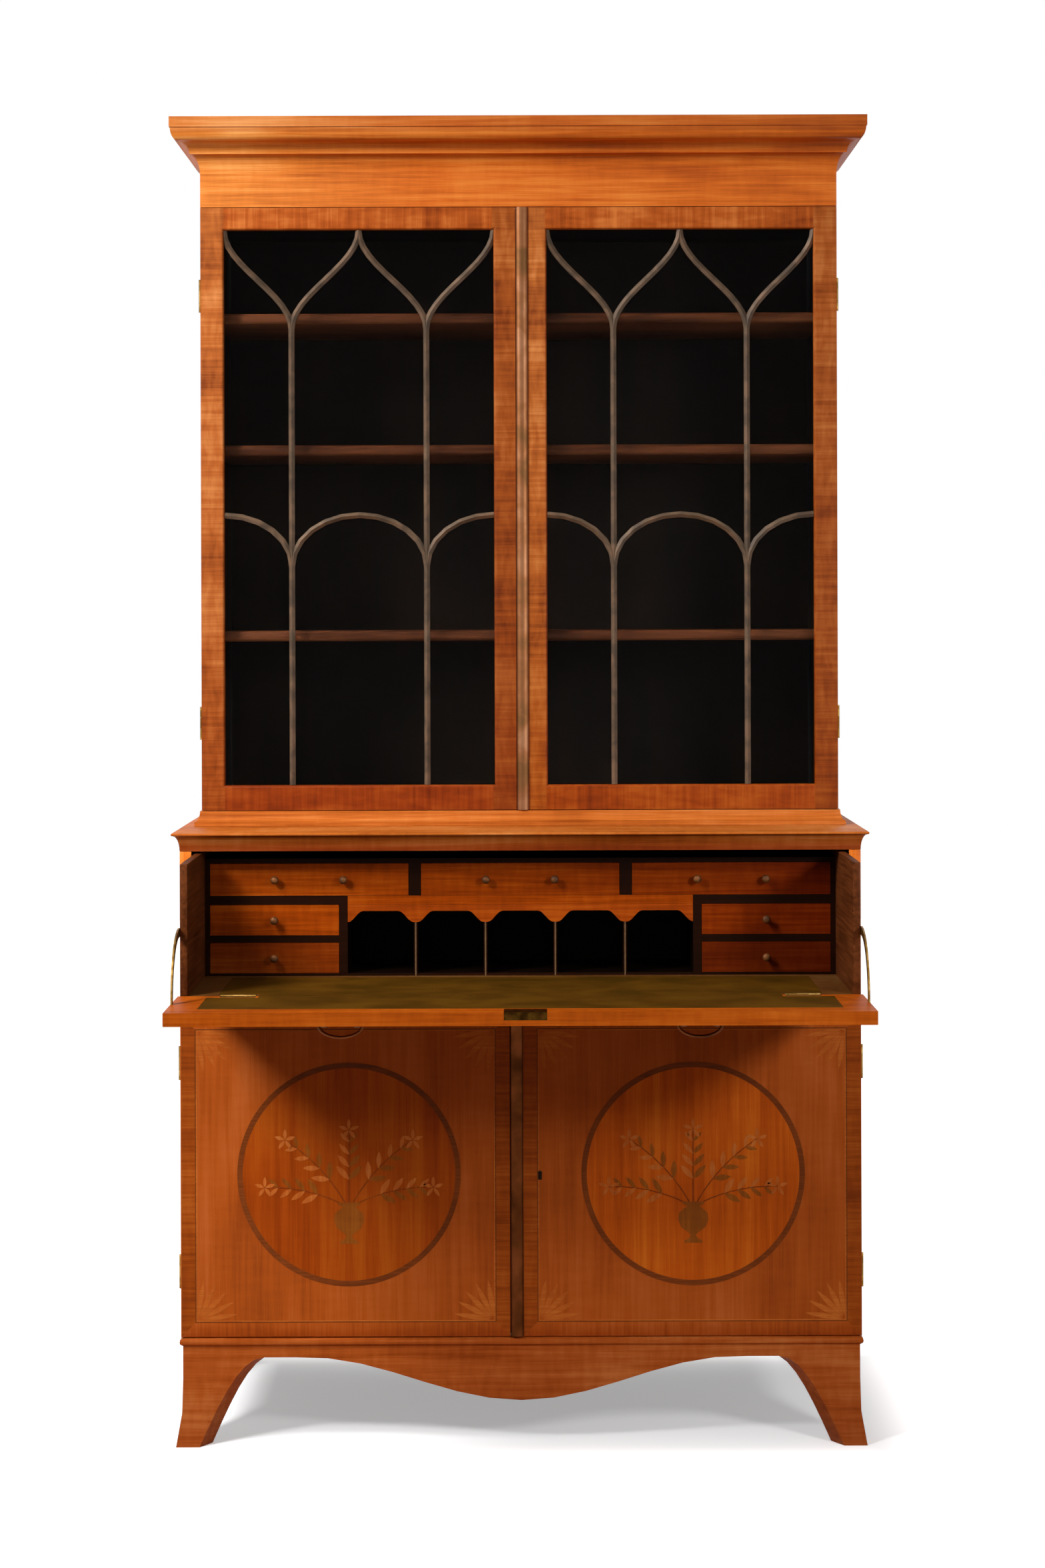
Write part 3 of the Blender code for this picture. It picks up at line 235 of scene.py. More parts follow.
def framed(tree, place):
    """Across the stiles of a glazed door and up its rails."""
    bay = {"x_over": MEETING_STILE, "x_under": UPPER_HALF - STILE}
    low = where(tree, place, {**bay, "z_under": FRAME_LOW + RAIL})
    high = where(tree, place, {**bay, "z_over": FRAME_HIGH - TOP_RAIL})
    return either(tree, place, maths(tree, 'ADD', low, high), "X", "Z")


print("the grain can run along X, Y or Z, round a mitre or round a frame")

# %% [markdown]
# ## Polished wood
# Satinwood is a hard yellow wood that age and polish have turned orange. Its fibres are fine, it has
# broader streaks of growth, and light catches a short mottle across the grain. Mahogany is the same story
# in redder and browner tones. One function draws them all from four noises, each with a real size in
# millimetres across and along the fibres, and from three tones of the wood. The fibres are about a fifth
# of a millimetre wide; they are drawn eight times as coarse so that they still show in a picture of the
# whole case. French polish is smooth but thin, so the gloss is low and follows the fibres a little.

# %% One function for every wood
def figure(tree, grain, across, length, detail=2):
    """A noise whose marks are so many millimetres across and along the grain."""
    scale = (1 / (across * MM), 1 / (across * MM), 1 / (length * MM))
    stretched = add_node(tree, "ShaderNodeMapping", {"Vector": grain, "Scale": scale})
    sockets = {"Vector": stretched, "Scale": 1.0, "Detail": detail, "Distortion": 0.3}
    return add_node(tree, "ShaderNodeTexNoise", sockets)


# The only inlay that is metal
BRASS_TONES = ("#83622e", "#96733c", "#aa864a")
# Marks of the wood, in millimetres across and along the fibres
FIBRES = (1.6, 70)
MOTTLE = (46, 13)
CLOUDS = (110, 300)


def polished_wood(name, tones, lay, streak=9, mottle=0.15, cloud=0.35, gloss=0.06, inlays=(), dusk=None):
    """Dark, middle and pale tones over a lay of grain.

    inlays are (limits, tones): where the limits hold, the piece takes other tones, such as the brass
    knuckle on a door's edge, or painted shade on the dark inside of a cell. dusk is (axis, clear, deep,
    hex colour): between those two places all of it is darkened by that colour, on some pieces as painted
    shade.
    """
    material, tree, shader, place = new_finish(name, Specular_IOR_Level=gloss)
    grain = lay(tree, place)
    fibres = figure(tree, grain, *FIBRES)
    layers = ((fibres, 0.16), (figure(tree, grain, streak, streak * 30, 4), 0.34),
              (figure(tree, grain, *MOTTLE), mottle), (figure(tree, grain, *CLOUDS), cloud))
    whole = sum(weight for layer, weight in layers)
    value = 0.0
    for layer, weight in layers:
        value = maths(tree, 'MULTIPLY_ADD', layer, weight / whole, value)
    colour = ramp(tree, value, tones)
    for limits, other in inlays:
        mask = where(tree, place, limits)
        sockets = {0: mask, 6: colour, 7: ramp(tree, value, other)}
        colour = add_node(tree, "ShaderNodeMix", sockets, data_type='RGBA').outputs[2]
        if other is BRASS_TONES:
            fill(shader, {"Metallic": mask})
    if dusk:
        axis, clear, deep, brown = dusk
        sockets = {0: split(tree, place)[axis], 1: clear, 2: deep, 3: 0.0, 4: 1.0}
        fade = add_node(tree, "ShaderNodeMapRange", sockets)
        colour = add_node(tree, "ShaderNodeMix", {0: fade, 6: colour, 7: linear(brown)},
                          data_type='RGBA', blend_type='MULTIPLY').outputs[2]
    shine = maths(tree, 'MULTIPLY_ADD', fibres, 0.2, 0.34)
    relief = add_node(tree, "ShaderNodeBump", {"Strength": 0.1, "Distance": 0.3 * MM, "Height": value})
    fill(shader, {"Base Color": colour, "Roughness": shine, "Normal": relief})
    return material


def dress(material, *names):
    """Give CAD nodes a finish."""
    for name in names:
        nodes[name].data.materials.clear()
        nodes[name].data.materials.append(material)
    print(material.name, "on", len(names), "nodes")


CASE_TONES = ("#a84d10", "#cf6a1e", "#e88a3a")
CORNICE_TONES = ("#bc621e", "#e78633", "#ffad5d")
WAIST_TONES = ("#914512", "#b35f21", "#c97c3f")
FRAME_TONES = ("#7f330c", "#b4561b", "#d67a38")
PANEL_TONES = ("#8a3d10", "#a24c15", "#af5a26")
FALL_TONES = ("#813505", "#a24909", "#b65c16")
PLINTH_TONES = ("#85390c", "#a14d1a", "#b76732")
NEST_TONES = ("#6f2802", "#903904", "#a94f0e")
LOWER_ROW_SHADE_TONES = ("#591e03", "#722b04", "#873d0d")
# Painted shade: near black for the insides behind the glass and round the drawer
INNER_PAINTED_SHADE = ("#060302", "#0d0603", "#140a05")
SHELF_SHADED_TONES = ("#220d04", "#391b0c", "#4b2814")
CUPBOARD_TONES = ("#3b1c0b", "#522b14", "#673a1f")
DEAL_TONES = ("#4f2f17", "#694225", "#805633")
SIDE_TONES = ("#341607", "#522911", "#6b391c")
BED_TONES = ("#4a2a0e", "#5c3817", "#6e4a26")
LINING_TONES = ("#3d2703", "#472c04", "#503305")
OILED = {"streak": 6, "mottle": 0.05, "gloss": 0.03}
STAINED = {"streak": 14, "gloss": 0.03}

# %% [markdown]
# ## Dress the lower case
# The sides have upright grain, and the top and the rails run across. The plinth is a shade browner, as
# veneers from different logs are. Nobody wastes satinwood where it isn't seen: the cupboard is lined with
# plain mahogany and the back is stained deal, so these finishes change just inside the face that shows. The
# door halves of the hinges belong to the doors' own solids, so the door finish turns to brass just outside
# the case.

# %% Satinwood and deal on the lower case
def clad(names, *wood, **marks):
    """Dress nodes in a polished wood."""
    dress(polished_wood(*wood, **marks), *names)


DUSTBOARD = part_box("drawer_dustboard")[0].z
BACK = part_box("base_back")[1].y
# How far behind a face its finish changes, and how far outside it
SKIN = 2 * MM
KNUCKLE_GAP = 0.1 * MM
inside = {"x_under": CASE_HALF - 19.5 * MM}
# Knife-cut veneer, French polished: warm orange with upright streaks
# Above the dustboard, round the drawer, the inside of the sides is painted nearly black as shade
clad(both("base_side"), "satinwood_base_side", CASE_TONES, along("Z"),
     inlays=[(inside, CUPBOARD_TONES), ({**inside, "z_over": DUSTBOARD}, INNER_PAINTED_SHADE)])
# Polished over a moulded edge: paler on top, with painted shade browning the hollow that faces down
clad(["base_top"], "satinwood_top_across", WAIST_TONES, along("X"),
     dusk=("Z", TOP_HIGH - 4 * MM, TOP_HIGH - 26 * MM, "#b08a78"))
# A narrow solid rail: the same orange with its streaks lying down
clad(["drawer_dustboard"], "satinwood_rail_across", CASE_TONES, along("X"))
# Handled every day: deeper and more even, with the knuckles of the hinges in brass
clad(["fall_front"], "satinwood_fall_across", FALL_TONES, along("X"),
     inlays=[({"z_over": WRITING + 0.2 * MM}, BRASS_TONES)])
# Sawn to shape and veneered: a browner orange, darker towards the floor
darker_to_floor = ("Z", 0.12, 0.03, "#ebe6e6")
clad(["plinth_front"], "satinwood_plinth_across", PLINTH_TONES, along("X"), dusk=darker_to_floor)
clad(both("plinth"), "satinwood_plinth_side", PLINTH_TONES, along("Y"), dusk=darker_to_floor)
# One wide sheet on each door: soft clouds, hardly any mottle
clad(both("cupboard_door"), "satinwood_door_panel", PANEL_TONES, along("Z"), mottle=0.1, cloud=0.45,
     inlays=[({"x_over": CASE_HALF + KNUCKLE_GAP}, BRASS_TONES)])
# Planed and stained, never polished: dull brown, with mahogany towards the cupboard
clad(["base_back"], "deal_back_stained", DEAL_TONES, along("Z"), **STAINED,
     inlays=[({"y_under": BACK - SKIN}, CUPBOARD_TONES)])
# Plain boards, oiled: a darker brown with fine lines
clad(["base_bottom"], "mahogany_cupboard_across", CUPBOARD_TONES, along("X"), **OILED)

# %% [markdown]
# ## Dress the upper case
# The cornice and waist mouldings follow their mitres, and the door frames are a shade redder than the
# frieze. Behind the glass the wood is painted nearly black as shade, so the eye stops at the glazing bars.

# %% Satinwood and mahogany on the upper case
UPPER_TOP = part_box("upper_top")[1].z
# The same veneer as below, painted dark as shade on the face towards the shelves
clad(both("upper_side"), "satinwood_upper_side", CASE_TONES, along("Z"),
     inlays=[({"x_under": UPPER_HALF - 1.5 * MM}, INNER_PAINTED_SHADE)])
# Long straight lengths with a fuller polish: pale orange with a painted highlight at the left end that
# fades towards the middle, and painted shade along the upper edge, where the cove faces down
CORNICE_PAINTED_SHADE = ("#aa581d", "#d17932", "#e79c5b")
PAINTED_SHADE_HIGH = 27 * MM
clad(["cornice"], "satinwood_cornice_mitred", CORNICE_TONES, mitred, streak=7, mottle=0.06, gloss=0.2,
     inlays=[({"z_over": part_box("cornice")[1].z - PAINTED_SHADE_HIGH}, CORNICE_PAINTED_SHADE)],
     dusk=("X", -0.5, -0.15, "#eccb99"))
# The same wood a shade browner, where the two cases meet
clad(["waist_moulding"], "satinwood_waist_mitred", WAIST_TONES, mitred, streak=7, mottle=0.06)
# Crossbanded: short fibres, a strong mottle, and redder towards the foot. The left stile of each door
# carries a painted sheen, paler and whiter, and the right one painted shade, browner, as the light comes
# from the left
STILE_PAINTED_SHEEN = ("#863f17", "#bd682c", "#e19355")
STILE_PAINTED_SHADE = ("#75320e", "#a6541d", "#c6773c")
for side, outer, inner, foot in (("left", STILE_PAINTED_SHEEN, STILE_PAINTED_SHADE, "#b19468"),
                                 ("right", STILE_PAINTED_SHADE, STILE_PAINTED_SHEEN, "#bea76a")):
    clad([f"glazed_door_{side}"], f"satinwood_door_frame_{side}", FRAME_TONES, framed, mottle=0.3,
         cloud=0.5, gloss=0.1, dusk=("Z", FRAME_LOW + 1.0, FRAME_LOW, foot),
         inlays=[({"x_over": UPPER_HALF - STILE}, outer), ({"x_under": MEETING_STILE}, inner),
                 ({"x_over": UPPER_HALF + KNUCKLE_GAP}, BRASS_TONES)])
# Oiled boards, darkened as painted shade: fine lines of dark red brown
SHELVES = ["shelf_lower", "shelf_middle", "shelf_upper"]
clad(SHELVES, "mahogany_shelf_across", SHELF_SHADED_TONES, along("X"), **OILED)
# Painted nearly black as shade inside the bookcase, dull brown deal on the outside
clad(["upper_bottom", "drawer_back"], "mahogany_board_across", INNER_PAINTED_SHADE, along("X"), **OILED)
clad(["upper_top"], "deal_top_stained", DEAL_TONES, along("X"), **STAINED,
     inlays=[({"z_under": UPPER_TOP - SKIN}, INNER_PAINTED_SHADE)])
clad(["upper_back"], "deal_upper_back_stained", DEAL_TONES, along("Z"), **STAINED,
     inlays=[({"y_under": BACK - SKIN}, INNER_PAINTED_SHADE)])

# %% [markdown]
# ## Dress the writing drawer
# The nest is faced with satinwood over the pigeonholes and painted nearly black as shade round its
# drawers, with a pale line up each partition, and its cells are painted nearly black as shade, so the
# finish changes just behind its front edges. The small drawers have satinwood fronts on mahogany trays,
# and change in the same way.

# %% Nest, small drawers and drawer sides
NEST_SHADE = ("#140702", "#1c0a03", "#250e05")
CELL_SHADE = ("#080301", "#0c0502", "#110703")
PARTITION_LINE = ("#5c4530", "#6a5038", "#775b41")
PIGEON_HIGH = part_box("pigeonhole_valance")[1].z
PARTITIONS = (59 * MM, 177 * MM)
LINE_HALF = 1 * MM
NEST_EDGE = 1.6 * MM
FRONT_THICK = 9.2 * MM
# Thin boards, waxed and dark with handling
clad(both("drawer_side"), "mahogany_drawer_side", SIDE_TONES, along("Y"), **OILED)
# A satinwood facing, painted nearly black as shade round the drawers and inside the cells: it frames the
# drawers with dark lines
lines = [({"x_over": at - LINE_HALF, "x_under": at + LINE_HALF, "z_under": PIGEON_HIGH}, PARTITION_LINE)
         for at in PARTITIONS]
clad(["nest_frame"], "satinwood_nest_facing", NEST_TONES, along("X"), streak=6, gloss=0.03, inlays=[
    ({"z_over": TOP_DRAWER_LOW - 0.5 * MM}, NEST_SHADE), ({"z_under": PIGEON_HIGH}, NEST_SHADE),
    ({"x_over": PIGEON_HALF}, NEST_SHADE), *lines, ({"y_over": NEST_FACE + NEST_EDGE}, CELL_SHADE)])
# Never bleached by daylight: deep orange, redder than the outside
clad(["pigeonhole_valance"], "satinwood_nest_valance", NEST_TONES, along("X"), streak=6)
# Rubbed bare beside the lining: a dull olive brown
clad(["drawer_bottom"], "satinwood_writing_bed", BED_TONES, along("X"))
# The same deep orange on the small drawers, with painted shade that browns the lower row and darkens them
# towards the right
small_drawers = [name for name in nodes if name.startswith("small_drawer_")]
tray = ({"y_over": NEST_FACE + FRONT_THICK}, ("#5c3014", "#6e3d1c", "#804b27"))
for word, tones in (("", NEST_TONES), ("_lower", LOWER_ROW_SHADE_TONES)):
    row = [name for name in small_drawers if ("lower" in name) == bool(word)]
    clad(row, f"satinwood_drawer_front{word}", tones, along("X"), streak=6, gloss=0.03, inlays=[tray],
         dusk=("X", -0.1, 0.5, "#b89884"))

# %% [markdown]
# ## Metal
# The hinges, stays and handles are cast and filed brass that has dulled. Tarnish gathers in cloudy
# patches a centimetre or two wide and makes the metal both darker and rougher, so one noise drives
# the colour and the roughness together. The meeting strip below and the bails hide in the shade of the
# fall, and their brass is browned, partly as patina and partly as painted shade; the glazing bars are brass
# whose gilding has worn to a grey beige; the lock is dark iron.

# %% Brass, worn gilding and iron
def worked_metal(name, tones, roughness, patch=14, metallic=1.0):
    """A metal with tarnish in patches of so many millimetres."""
    material, tree, shader, place = new_finish(name, Metallic=metallic)
    tarnish = figure(tree, place, patch, patch, 5)
    shine = maths(tree, 'MULTIPLY_ADD', tarnish, 0.3, roughness - 0.15)
    grit = figure(tree, place, 0.9, 0.9)
    relief = add_node(tree, "ShaderNodeBump", {"Strength": 0.08, "Distance": 0.2 * MM, "Height": grit})
    fill(shader, {"Base Color": ramp(tree, tarnish, tones), "Roughness": shine, "Normal": relief})
    return material


# Filed and dulled: soft highlights, darker in the hollows
brass = worked_metal("brass_filed_dull", ("#b08a4c", "#8a682f", "#69491e"), 0.38)
# Drawn through a die and rubbed by hands: one long beige highlight
strip_brass = worked_metal("brass_strip_drawn", ("#8f6346", "#7c4f31", "#664529"), 0.42, patch=60)
# Lacquered and toned by smoke: small dull knobs that hardly shine
knob_brass = worked_metal("brass_knob_lacquered", ("#7c481c", "#643810", "#4a280b"), 0.6, metallic=0.5)
# Never polished: brown with an olive cast, made darker still as painted shade for the strip and bails under
# the fall
brass_patina_and_shade = worked_metal("brass_patina_and_painted_shade", ("#552a12", "#43200b", "#331707"), 0.45, patch=60)
# Leaf gilding rubbed through to a grey ground: hardly metallic any more
gilding = worked_metal("brass_gilding_worn", ("#6a503a", "#56412d", "#423121"), 0.5, patch=25, metallic=0.3)
# Oiled iron: nearly black
iron = worked_metal("iron_lock_oiled", ("#452d0c", "#331f06", "#241404"), 0.45)
HINGES = [name for name in nodes if "_hinge_" in name]
dress(brass, *HINGES, *both("quadrant_stay"))
dress(strip_brass, "glazed_astragal")
dress(brass_patina_and_shade, "cupboard_astragal", *both("bail"))
dress(gilding, *both("glazing_bars"))
dress(iron, "fall_lock")

# %% [markdown]
# ## Leather and glass
# The writing surface is lined with skiver, a thin split leather, dyed olive and worn paler where arms
# rest. Its pebbled grain is about a millimetre across. The panes are clear sheet glass, drawn by hand and
# so gently waved. Real lamps shine through a pane, but the renderer treats bent light as a rare accident,
# so the pane is made invisible to shadow rays only: the shelves behind it are lit, and the pane itself
# still reflects. Its IOR is set low, because thin panes that are seen straight on hardly reflect.

# %% Skiver and sheet glass
# Split, dyed and waxed: an even olive with paler wear and a fine pebbled relief
skiver, tree, shader, place = new_finish("skiver_leather_olive", Specular_IOR_Level=0.05)
wear = figure(tree, place, 90, 90, 4)
pebbles = add_node(tree, "ShaderNodeTexVoronoi", {"Vector": place, "Scale": 1 / (1.1 * MM)})
shine = maths(tree, 'MULTIPLY_ADD', wear, 0.25, 0.45)
relief = add_node(tree, "ShaderNodeBump", {"Strength": 0.2, "Distance": 0.3 * MM, "Height": pebbles})
fill(shader, {"Base Color": ramp(tree, wear, LINING_TONES), "Roughness": shine, "Normal": relief})
dress(skiver, "writing_lining", "bed_lining")

# Drawn by hand: clear, with a slow ripple in what it reflects
sheet_glass, tree, shader, place = new_finish("glass_sheet_clear", Roughness=0.0, IOR=1.07,
                                              Transmission_Weight=1.0, Base_Color=linear("#f6f8f6"))
waves = add_node(tree, "ShaderNodeBump", {"Strength": 0.3, "Distance": 0.3 * MM,
                                          "Height": figure(tree, place, 70, 160)})
fill(shader, {"Normal": waves})
clear = add_node(tree, "ShaderNodeBsdfTransparent")
shadow = add_node(tree, "ShaderNodeLightPath").outputs["Is Shadow Ray"]
pane = add_node(tree, "ShaderNodeMixShader", {0: shadow, 1: shader, 2: clear})
fill(tree.nodes["Material Output"], {"Surface": pane})
dress(sheet_glass, *both("glass"))

# %% [markdown]
# ## Soft edges and round mouldings
# Hand-planed edges are never sharp: a rounding of less than a millimetre catches a line of light. The
# part's meshes are loose triangles, so each is welded first, then bevelled where an edge turns by more
# than 40 degrees. A small node group then shades gentle turns as curves and keeps the real corners
# crisp, which makes the stepped arcs of the mouldings round.

# %% Bevels and smooth shading as modifiers
SHARP = math.radians(40)
rounding = bpy.data.node_groups.new("round_gentle_turns", "GeometryNodeTree")
rounding.interface.new_socket("Geometry", in_out='INPUT', socket_type='NodeSocketGeometry')
rounding.interface.new_socket("Geometry", in_out='OUTPUT', socket_type='NodeSocketGeometry')
start = add_node(rounding, "NodeGroupInput")
turn = add_node(rounding, "GeometryNodeInputMeshEdgeAngle").outputs["Unsigned Angle"]
corner = add_node(rounding, "FunctionNodeCompare", {0: turn, 1: SHARP}, operation='GREATER_THAN')
shaded = add_node(rounding, "GeometryNodeSetMeshNormal", {0: start, 1: True}, mode='SHARPNESS')
fill(shaded, {"Edge Sharpness": corner})
add_node(rounding, "NodeGroupOutput", {0: shaded})


def soften(width, *names):
    """Weld, bevel by a width in metres where it isn't 0, and shade round."""
    for name in names:
        weld = nodes[name].modifiers.new("weld", 'WELD')
        weld.merge_threshold = 0.01 * MM
        if width:
            bevel = nodes[name].modifiers.new("planed_edge", 'BEVEL')
            bevel.width = width
            bevel.segments = 2
            bevel.limit_method = 'ANGLE'
            bevel.angle_limit = SHARP
        shade = nodes[name].modifiers.new("round_shading", 'NODES')
        shade.node_group = rounding
    print(len(names), "nodes softened by", width / MM, "mm")


soften(1.0 * MM, "drawer_dustboard", "drawer_back", *both("base_side", "upper_side", "drawer_side"))
soften(0.0, "cornice", "waist_moulding", "base_top", "plinth_front", "glazed_astragal",
       "cupboard_astragal", *SHELVES, *HINGES, *both("plinth", "glazing_bars", "bail", "quadrant_stay"))

# %% [markdown]
# ## Making a new piece
# Every new piece goes the same way: a bmesh is shaped with operators, written to a mesh, given its
# finishes, and told which body it rides on. Flat inlay is drawn lying down, as on a bench, and then
# stood up against the face that carries it.

# %% From a bmesh to a riding piece
UPRIGHT = Matrix.Rotation(math.pi / 2, 4, 'X')
VENEER = 0.25 * MM


def add_object(name, data):
    """An object in the scene for a mesh, a lamp or a camera."""
    made = bpy.data.objects.new(name, data)
    bpy.context.scene.collection.objects.link(made)
    return made


def to_mesh(name, bm):
    """Write a bmesh to a mesh and free it."""
    mesh = bpy.data.meshes.new(name)
    bm.to_mesh(mesh)
    bm.free()
    return mesh


def make_piece(name, bm, materials, body, round_below=None):
    """Make an object of a bmesh that rides on a body; turns below an angle are shaded round."""
    mesh = to_mesh(name, bm)
    for material in materials:
        mesh.materials.append(material)
    if round_below:
        mesh.shade_smooth()
        mesh.set_sharp_from_angle(angle=round_below)
    piece = add_object(name, mesh)
    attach(piece, body)
    return piece


def thicken(piece, thickness, offset=1.0):
    """Give a sheet a thickness: with an offset of 1 outwards, of -1 inwards."""
    sheet = piece.modifiers.new("sheet_thickness", 'SOLIDIFY')
    sheet.thickness = thickness
    sheet.offset = offset


def lay_veneer(name, bm, materials, body, face, thickness=VENEER):
    """Turn a flat drawing by a matrix onto its face, and give it a thickness outwards."""
    bm.normal_update()
    bmesh.ops.reverse_faces(bm, faces=[f for f in bm.faces if f.normal.z < 0])
    bmesh.ops.transform(bm, matrix=face, verts=bm.verts)
    thicken(make_piece(name, bm, materials, body), thickness)


def door_plane(layer=0.0):
    """The plane of the cupboard doors, a number of veneers out from their face."""
    return Matrix.Translation((0, DOOR_FACE - layer * VENEER, 0)) @ UPRIGHT


# %% [markdown]
# ## Crossbanding and stringing
# Each cupboard door has a border about 23 mm wide, veneered with the grain across the border and
# mitred at its corners, and a fine dark and pale line inside it. The fall, which is the front of the
# drawer when it is shut, has the same border on its outer face. On the real piece these are thin sheets
# glued beside each other. Insetting a rectangle makes exactly such a mitred ring: the four strips come
# from one operator, and the middle face is thrown away. The strips that run up take a finish whose
# grain lies across, and the strips that run across take one whose grain stands up.

# %% Band and line the doors and the fall
BAND = 23 * MM
LINE = 1.8 * MM
ARRIS = 1.3 * MM
KNUCKLE_ROOM = 3 * MM
CLEAR_LEFT, CLEAR_RIGHT = 1.2 * MM, 0.3 * MM
BAND_TONES = ("#722f09", "#8e400d", "#a3531a")
# Straight-grained strips cut across the plank: short fibres and browner at the sides; along the foot of a
# door the strip carries a painted shadow, where the door meets the bead of the plinth
band_lying = polished_wood("satinwood_crossband_lying", BAND_TONES, along("X"), streak=5)
band_standing = polished_wood("satinwood_crossband_standing", PANEL_TONES, along("Z"), streak=5,
                              dusk=("Z", DOOR_LOW + 24 * MM, DOOR_LOW + 4 * MM, "#e2d0bc"))
band_deep = polished_wood("satinwood_crossband_deep", BAND_TONES, along("Y"), streak=5)
# Rosewood, faded by light: brown lines that edge the border and the roundels
rosewood = polished_wood("rosewood_stringing", ("#55260b", "#6a3210", "#7d3e17"), along("X"), streak=3)
# Boxwood: a fine pale line, mellowed to honey
boxwood = polished_wood("boxwood_stringing", ("#9b4b17", "#af5c21", "#bf6e2d"), along("X"), streak=3)


def flat_sheet(x, y, size, corner=0.0):
    """A rectangle drawn flat about (x, y), with round corners where a radius is given."""
    bm = bmesh.new()
    bmesh.ops.create_grid(bm, x_segments=1, y_segments=1, size=0.5)
    bmesh.ops.scale(bm, vec=(*size, 1), verts=bm.verts)
    if corner:
        bmesh.ops.bevel(bm, geom=bm.verts[:], offset=corner, segments=3, profile=0.5, affect='VERTICES',
                        material=-1)
    bmesh.ops.translate(bm, vec=(x, y, 0), verts=bm.verts)
    return bm


def hollow(bm, width):
    """Inset a flat face by a width and throw its middle away, so that a ring is left."""
    bm.normal_update()
    middle = list(bm.faces)
    bmesh.ops.inset_region(bm, faces=middle, thickness=width, use_boundary=True, use_even_offset=True)
    bmesh.ops.delete(bm, geom=middle, context='FACES_ONLY')


def mitred_ring(x0, x1, y0, y1, width):
    """A flat ring of four mitred strips; those at the left and right ends take the first finish."""
    bm = flat_sheet((x0 + x1) / 2, (y0 + y1) / 2, (x1 - x0, y1 - y0))
    hollow(bm, width)
    for strip in bm.faces:
        place = strip.calc_center_median()
        at_end = min(place.x - x0, x1 - place.x) < width
        strip.material_index = 0 if at_end else 1
    return bm


def band(word, body, limits, face, finishes):
    """A crossband and two lines, one inside the other."""
    x0, x1, y0, y1 = limits
    for line, width, pair in (("crossband", BAND, finishes), ("dark_line", LINE, (rosewood, rosewood)),
                              ("pale_line", LINE, (boxwood, boxwood))):
        ring = mitred_ring(x0, x1, y0, y1, width)
        lay_veneer(f"{line}_{word}", ring, pair, body, face)
        x0, x1, y0, y1 = x0 + width, x1 - width, y0 + width, y1 - width
    print(word, "banded to an inner field of", round(x1 - x0, 3), "by", round(y1 - y0, 3))
    return x0, x1, y0, y1


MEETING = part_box("cupboard_astragal")
field = {}
for side, (x0, x1) in {"left": (-CASE_HALF + ARRIS, MEETING[0].x - CLEAR_LEFT),
                       "right": (MEETING[1].x + CLEAR_RIGHT, CASE_HALF - ARRIS)}.items():
    limits = (x0, x1, DOOR_LOW + ARRIS, DOOR_HIGH - ARRIS)
    field[side] = band(f"door_{side}", f"cupboard_door_{side}", limits, door_plane(),
                       (band_lying, band_standing))
FALL_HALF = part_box("fall_front")[1].x - ARRIS
FACE_DOWN = Matrix.Translation((0, 0, FALL_FACE)) @ Matrix.Rotation(math.pi, 4, 'X')
band("fall", "fall", (-FALL_HALF, FALL_HALF, -HINGE_LINE + KNUCKLE_ROOM, -FALL_EDGE - ARRIS), FACE_DOWN,
     (band_lying, band_deep))

# %% [markdown]
# ## The roundels
# In the middle of each door a disc of paler veneer is let in, edged with a dark ring and inlaid with
# marquetry. The design here is a plain traditional one: an urn from which five stems rise, each with
# paired leaves and a small flower, and a fan of leaves in each corner of the door. A leaf is a circle
# whose sides are drawn in towards both tips, and a stem is a short edge that is extruded, moved and turned
# step by step, so a few numbers give the whole design. The urn is half an outline that is extruded across
# its own middle line. Woods close in tone, shaded and dyed, keep the inlay as quiet as old marquetry is.

# %% Shapes for the marquetry
def add_leaf(bm, x, y, turn, length, width):
    """A pointed leaf from its stalk at (x, y), drawn flat."""
    made = bmesh.ops.create_circle(bm, cap_ends=True, segments=16, radius=1)["verts"]
    for vert in made:
        vert.co.y *= math.sqrt(max(0.0, 1 - vert.co.x ** 2))
    place = (Matrix.Translation((x, y, 0)) @ Matrix.Rotation(turn, 4, 'Z')
             @ Matrix.Translation((length / 2, 0, 0)) @ Matrix.Diagonal((length / 2, width / 2, 1, 1)))
    bmesh.ops.transform(bm, matrix=place, verts=made)


def add_flower(bm, x, y, size):
    """Five petals round an eye of 2 mm, none over another."""
    for k in range(5):
        turn = math.pi / 2 + k * 2 * math.pi / 5
        add_leaf(bm, x + MM * math.cos(turn), y + MM * math.sin(turn), turn, size, size * 0.36)


STEM = 2.0 * MM
STEM_ROOM = 9 * MM
STEM_STEPS = 6
LEAF, LEAF_LESS = 34 * MM, 3.2 * MM
LEAF_LEAN = 0.75
LEAF_SLIM = 0.32
FLOWER = 17 * MM
URN_MOUTH = 66 * MM
URN = ((15, 0), (15, 4), (8, 7), (4, 13), (9, 18), (20, 26), (25, 38), (24, 50), (15, 58), (10, 61),
       (18, 65), (18, 69))


def add_urn(bm, x, y):
    """Half an outline, extruded across the middle line to its mirror image."""
    half = [bm.verts.new((x + r * MM, y + h * MM, 0)) for r, h in URN]
    edges = [bm.edges.new(pair) for pair in zip(half, half[1:])]
    for item in bmesh.ops.extrude_edge_only(bm, edges=edges)["geom"]:
        if isinstance(item, bmesh.types.BMVert):
            item.co.x = 2 * x - item.co.x


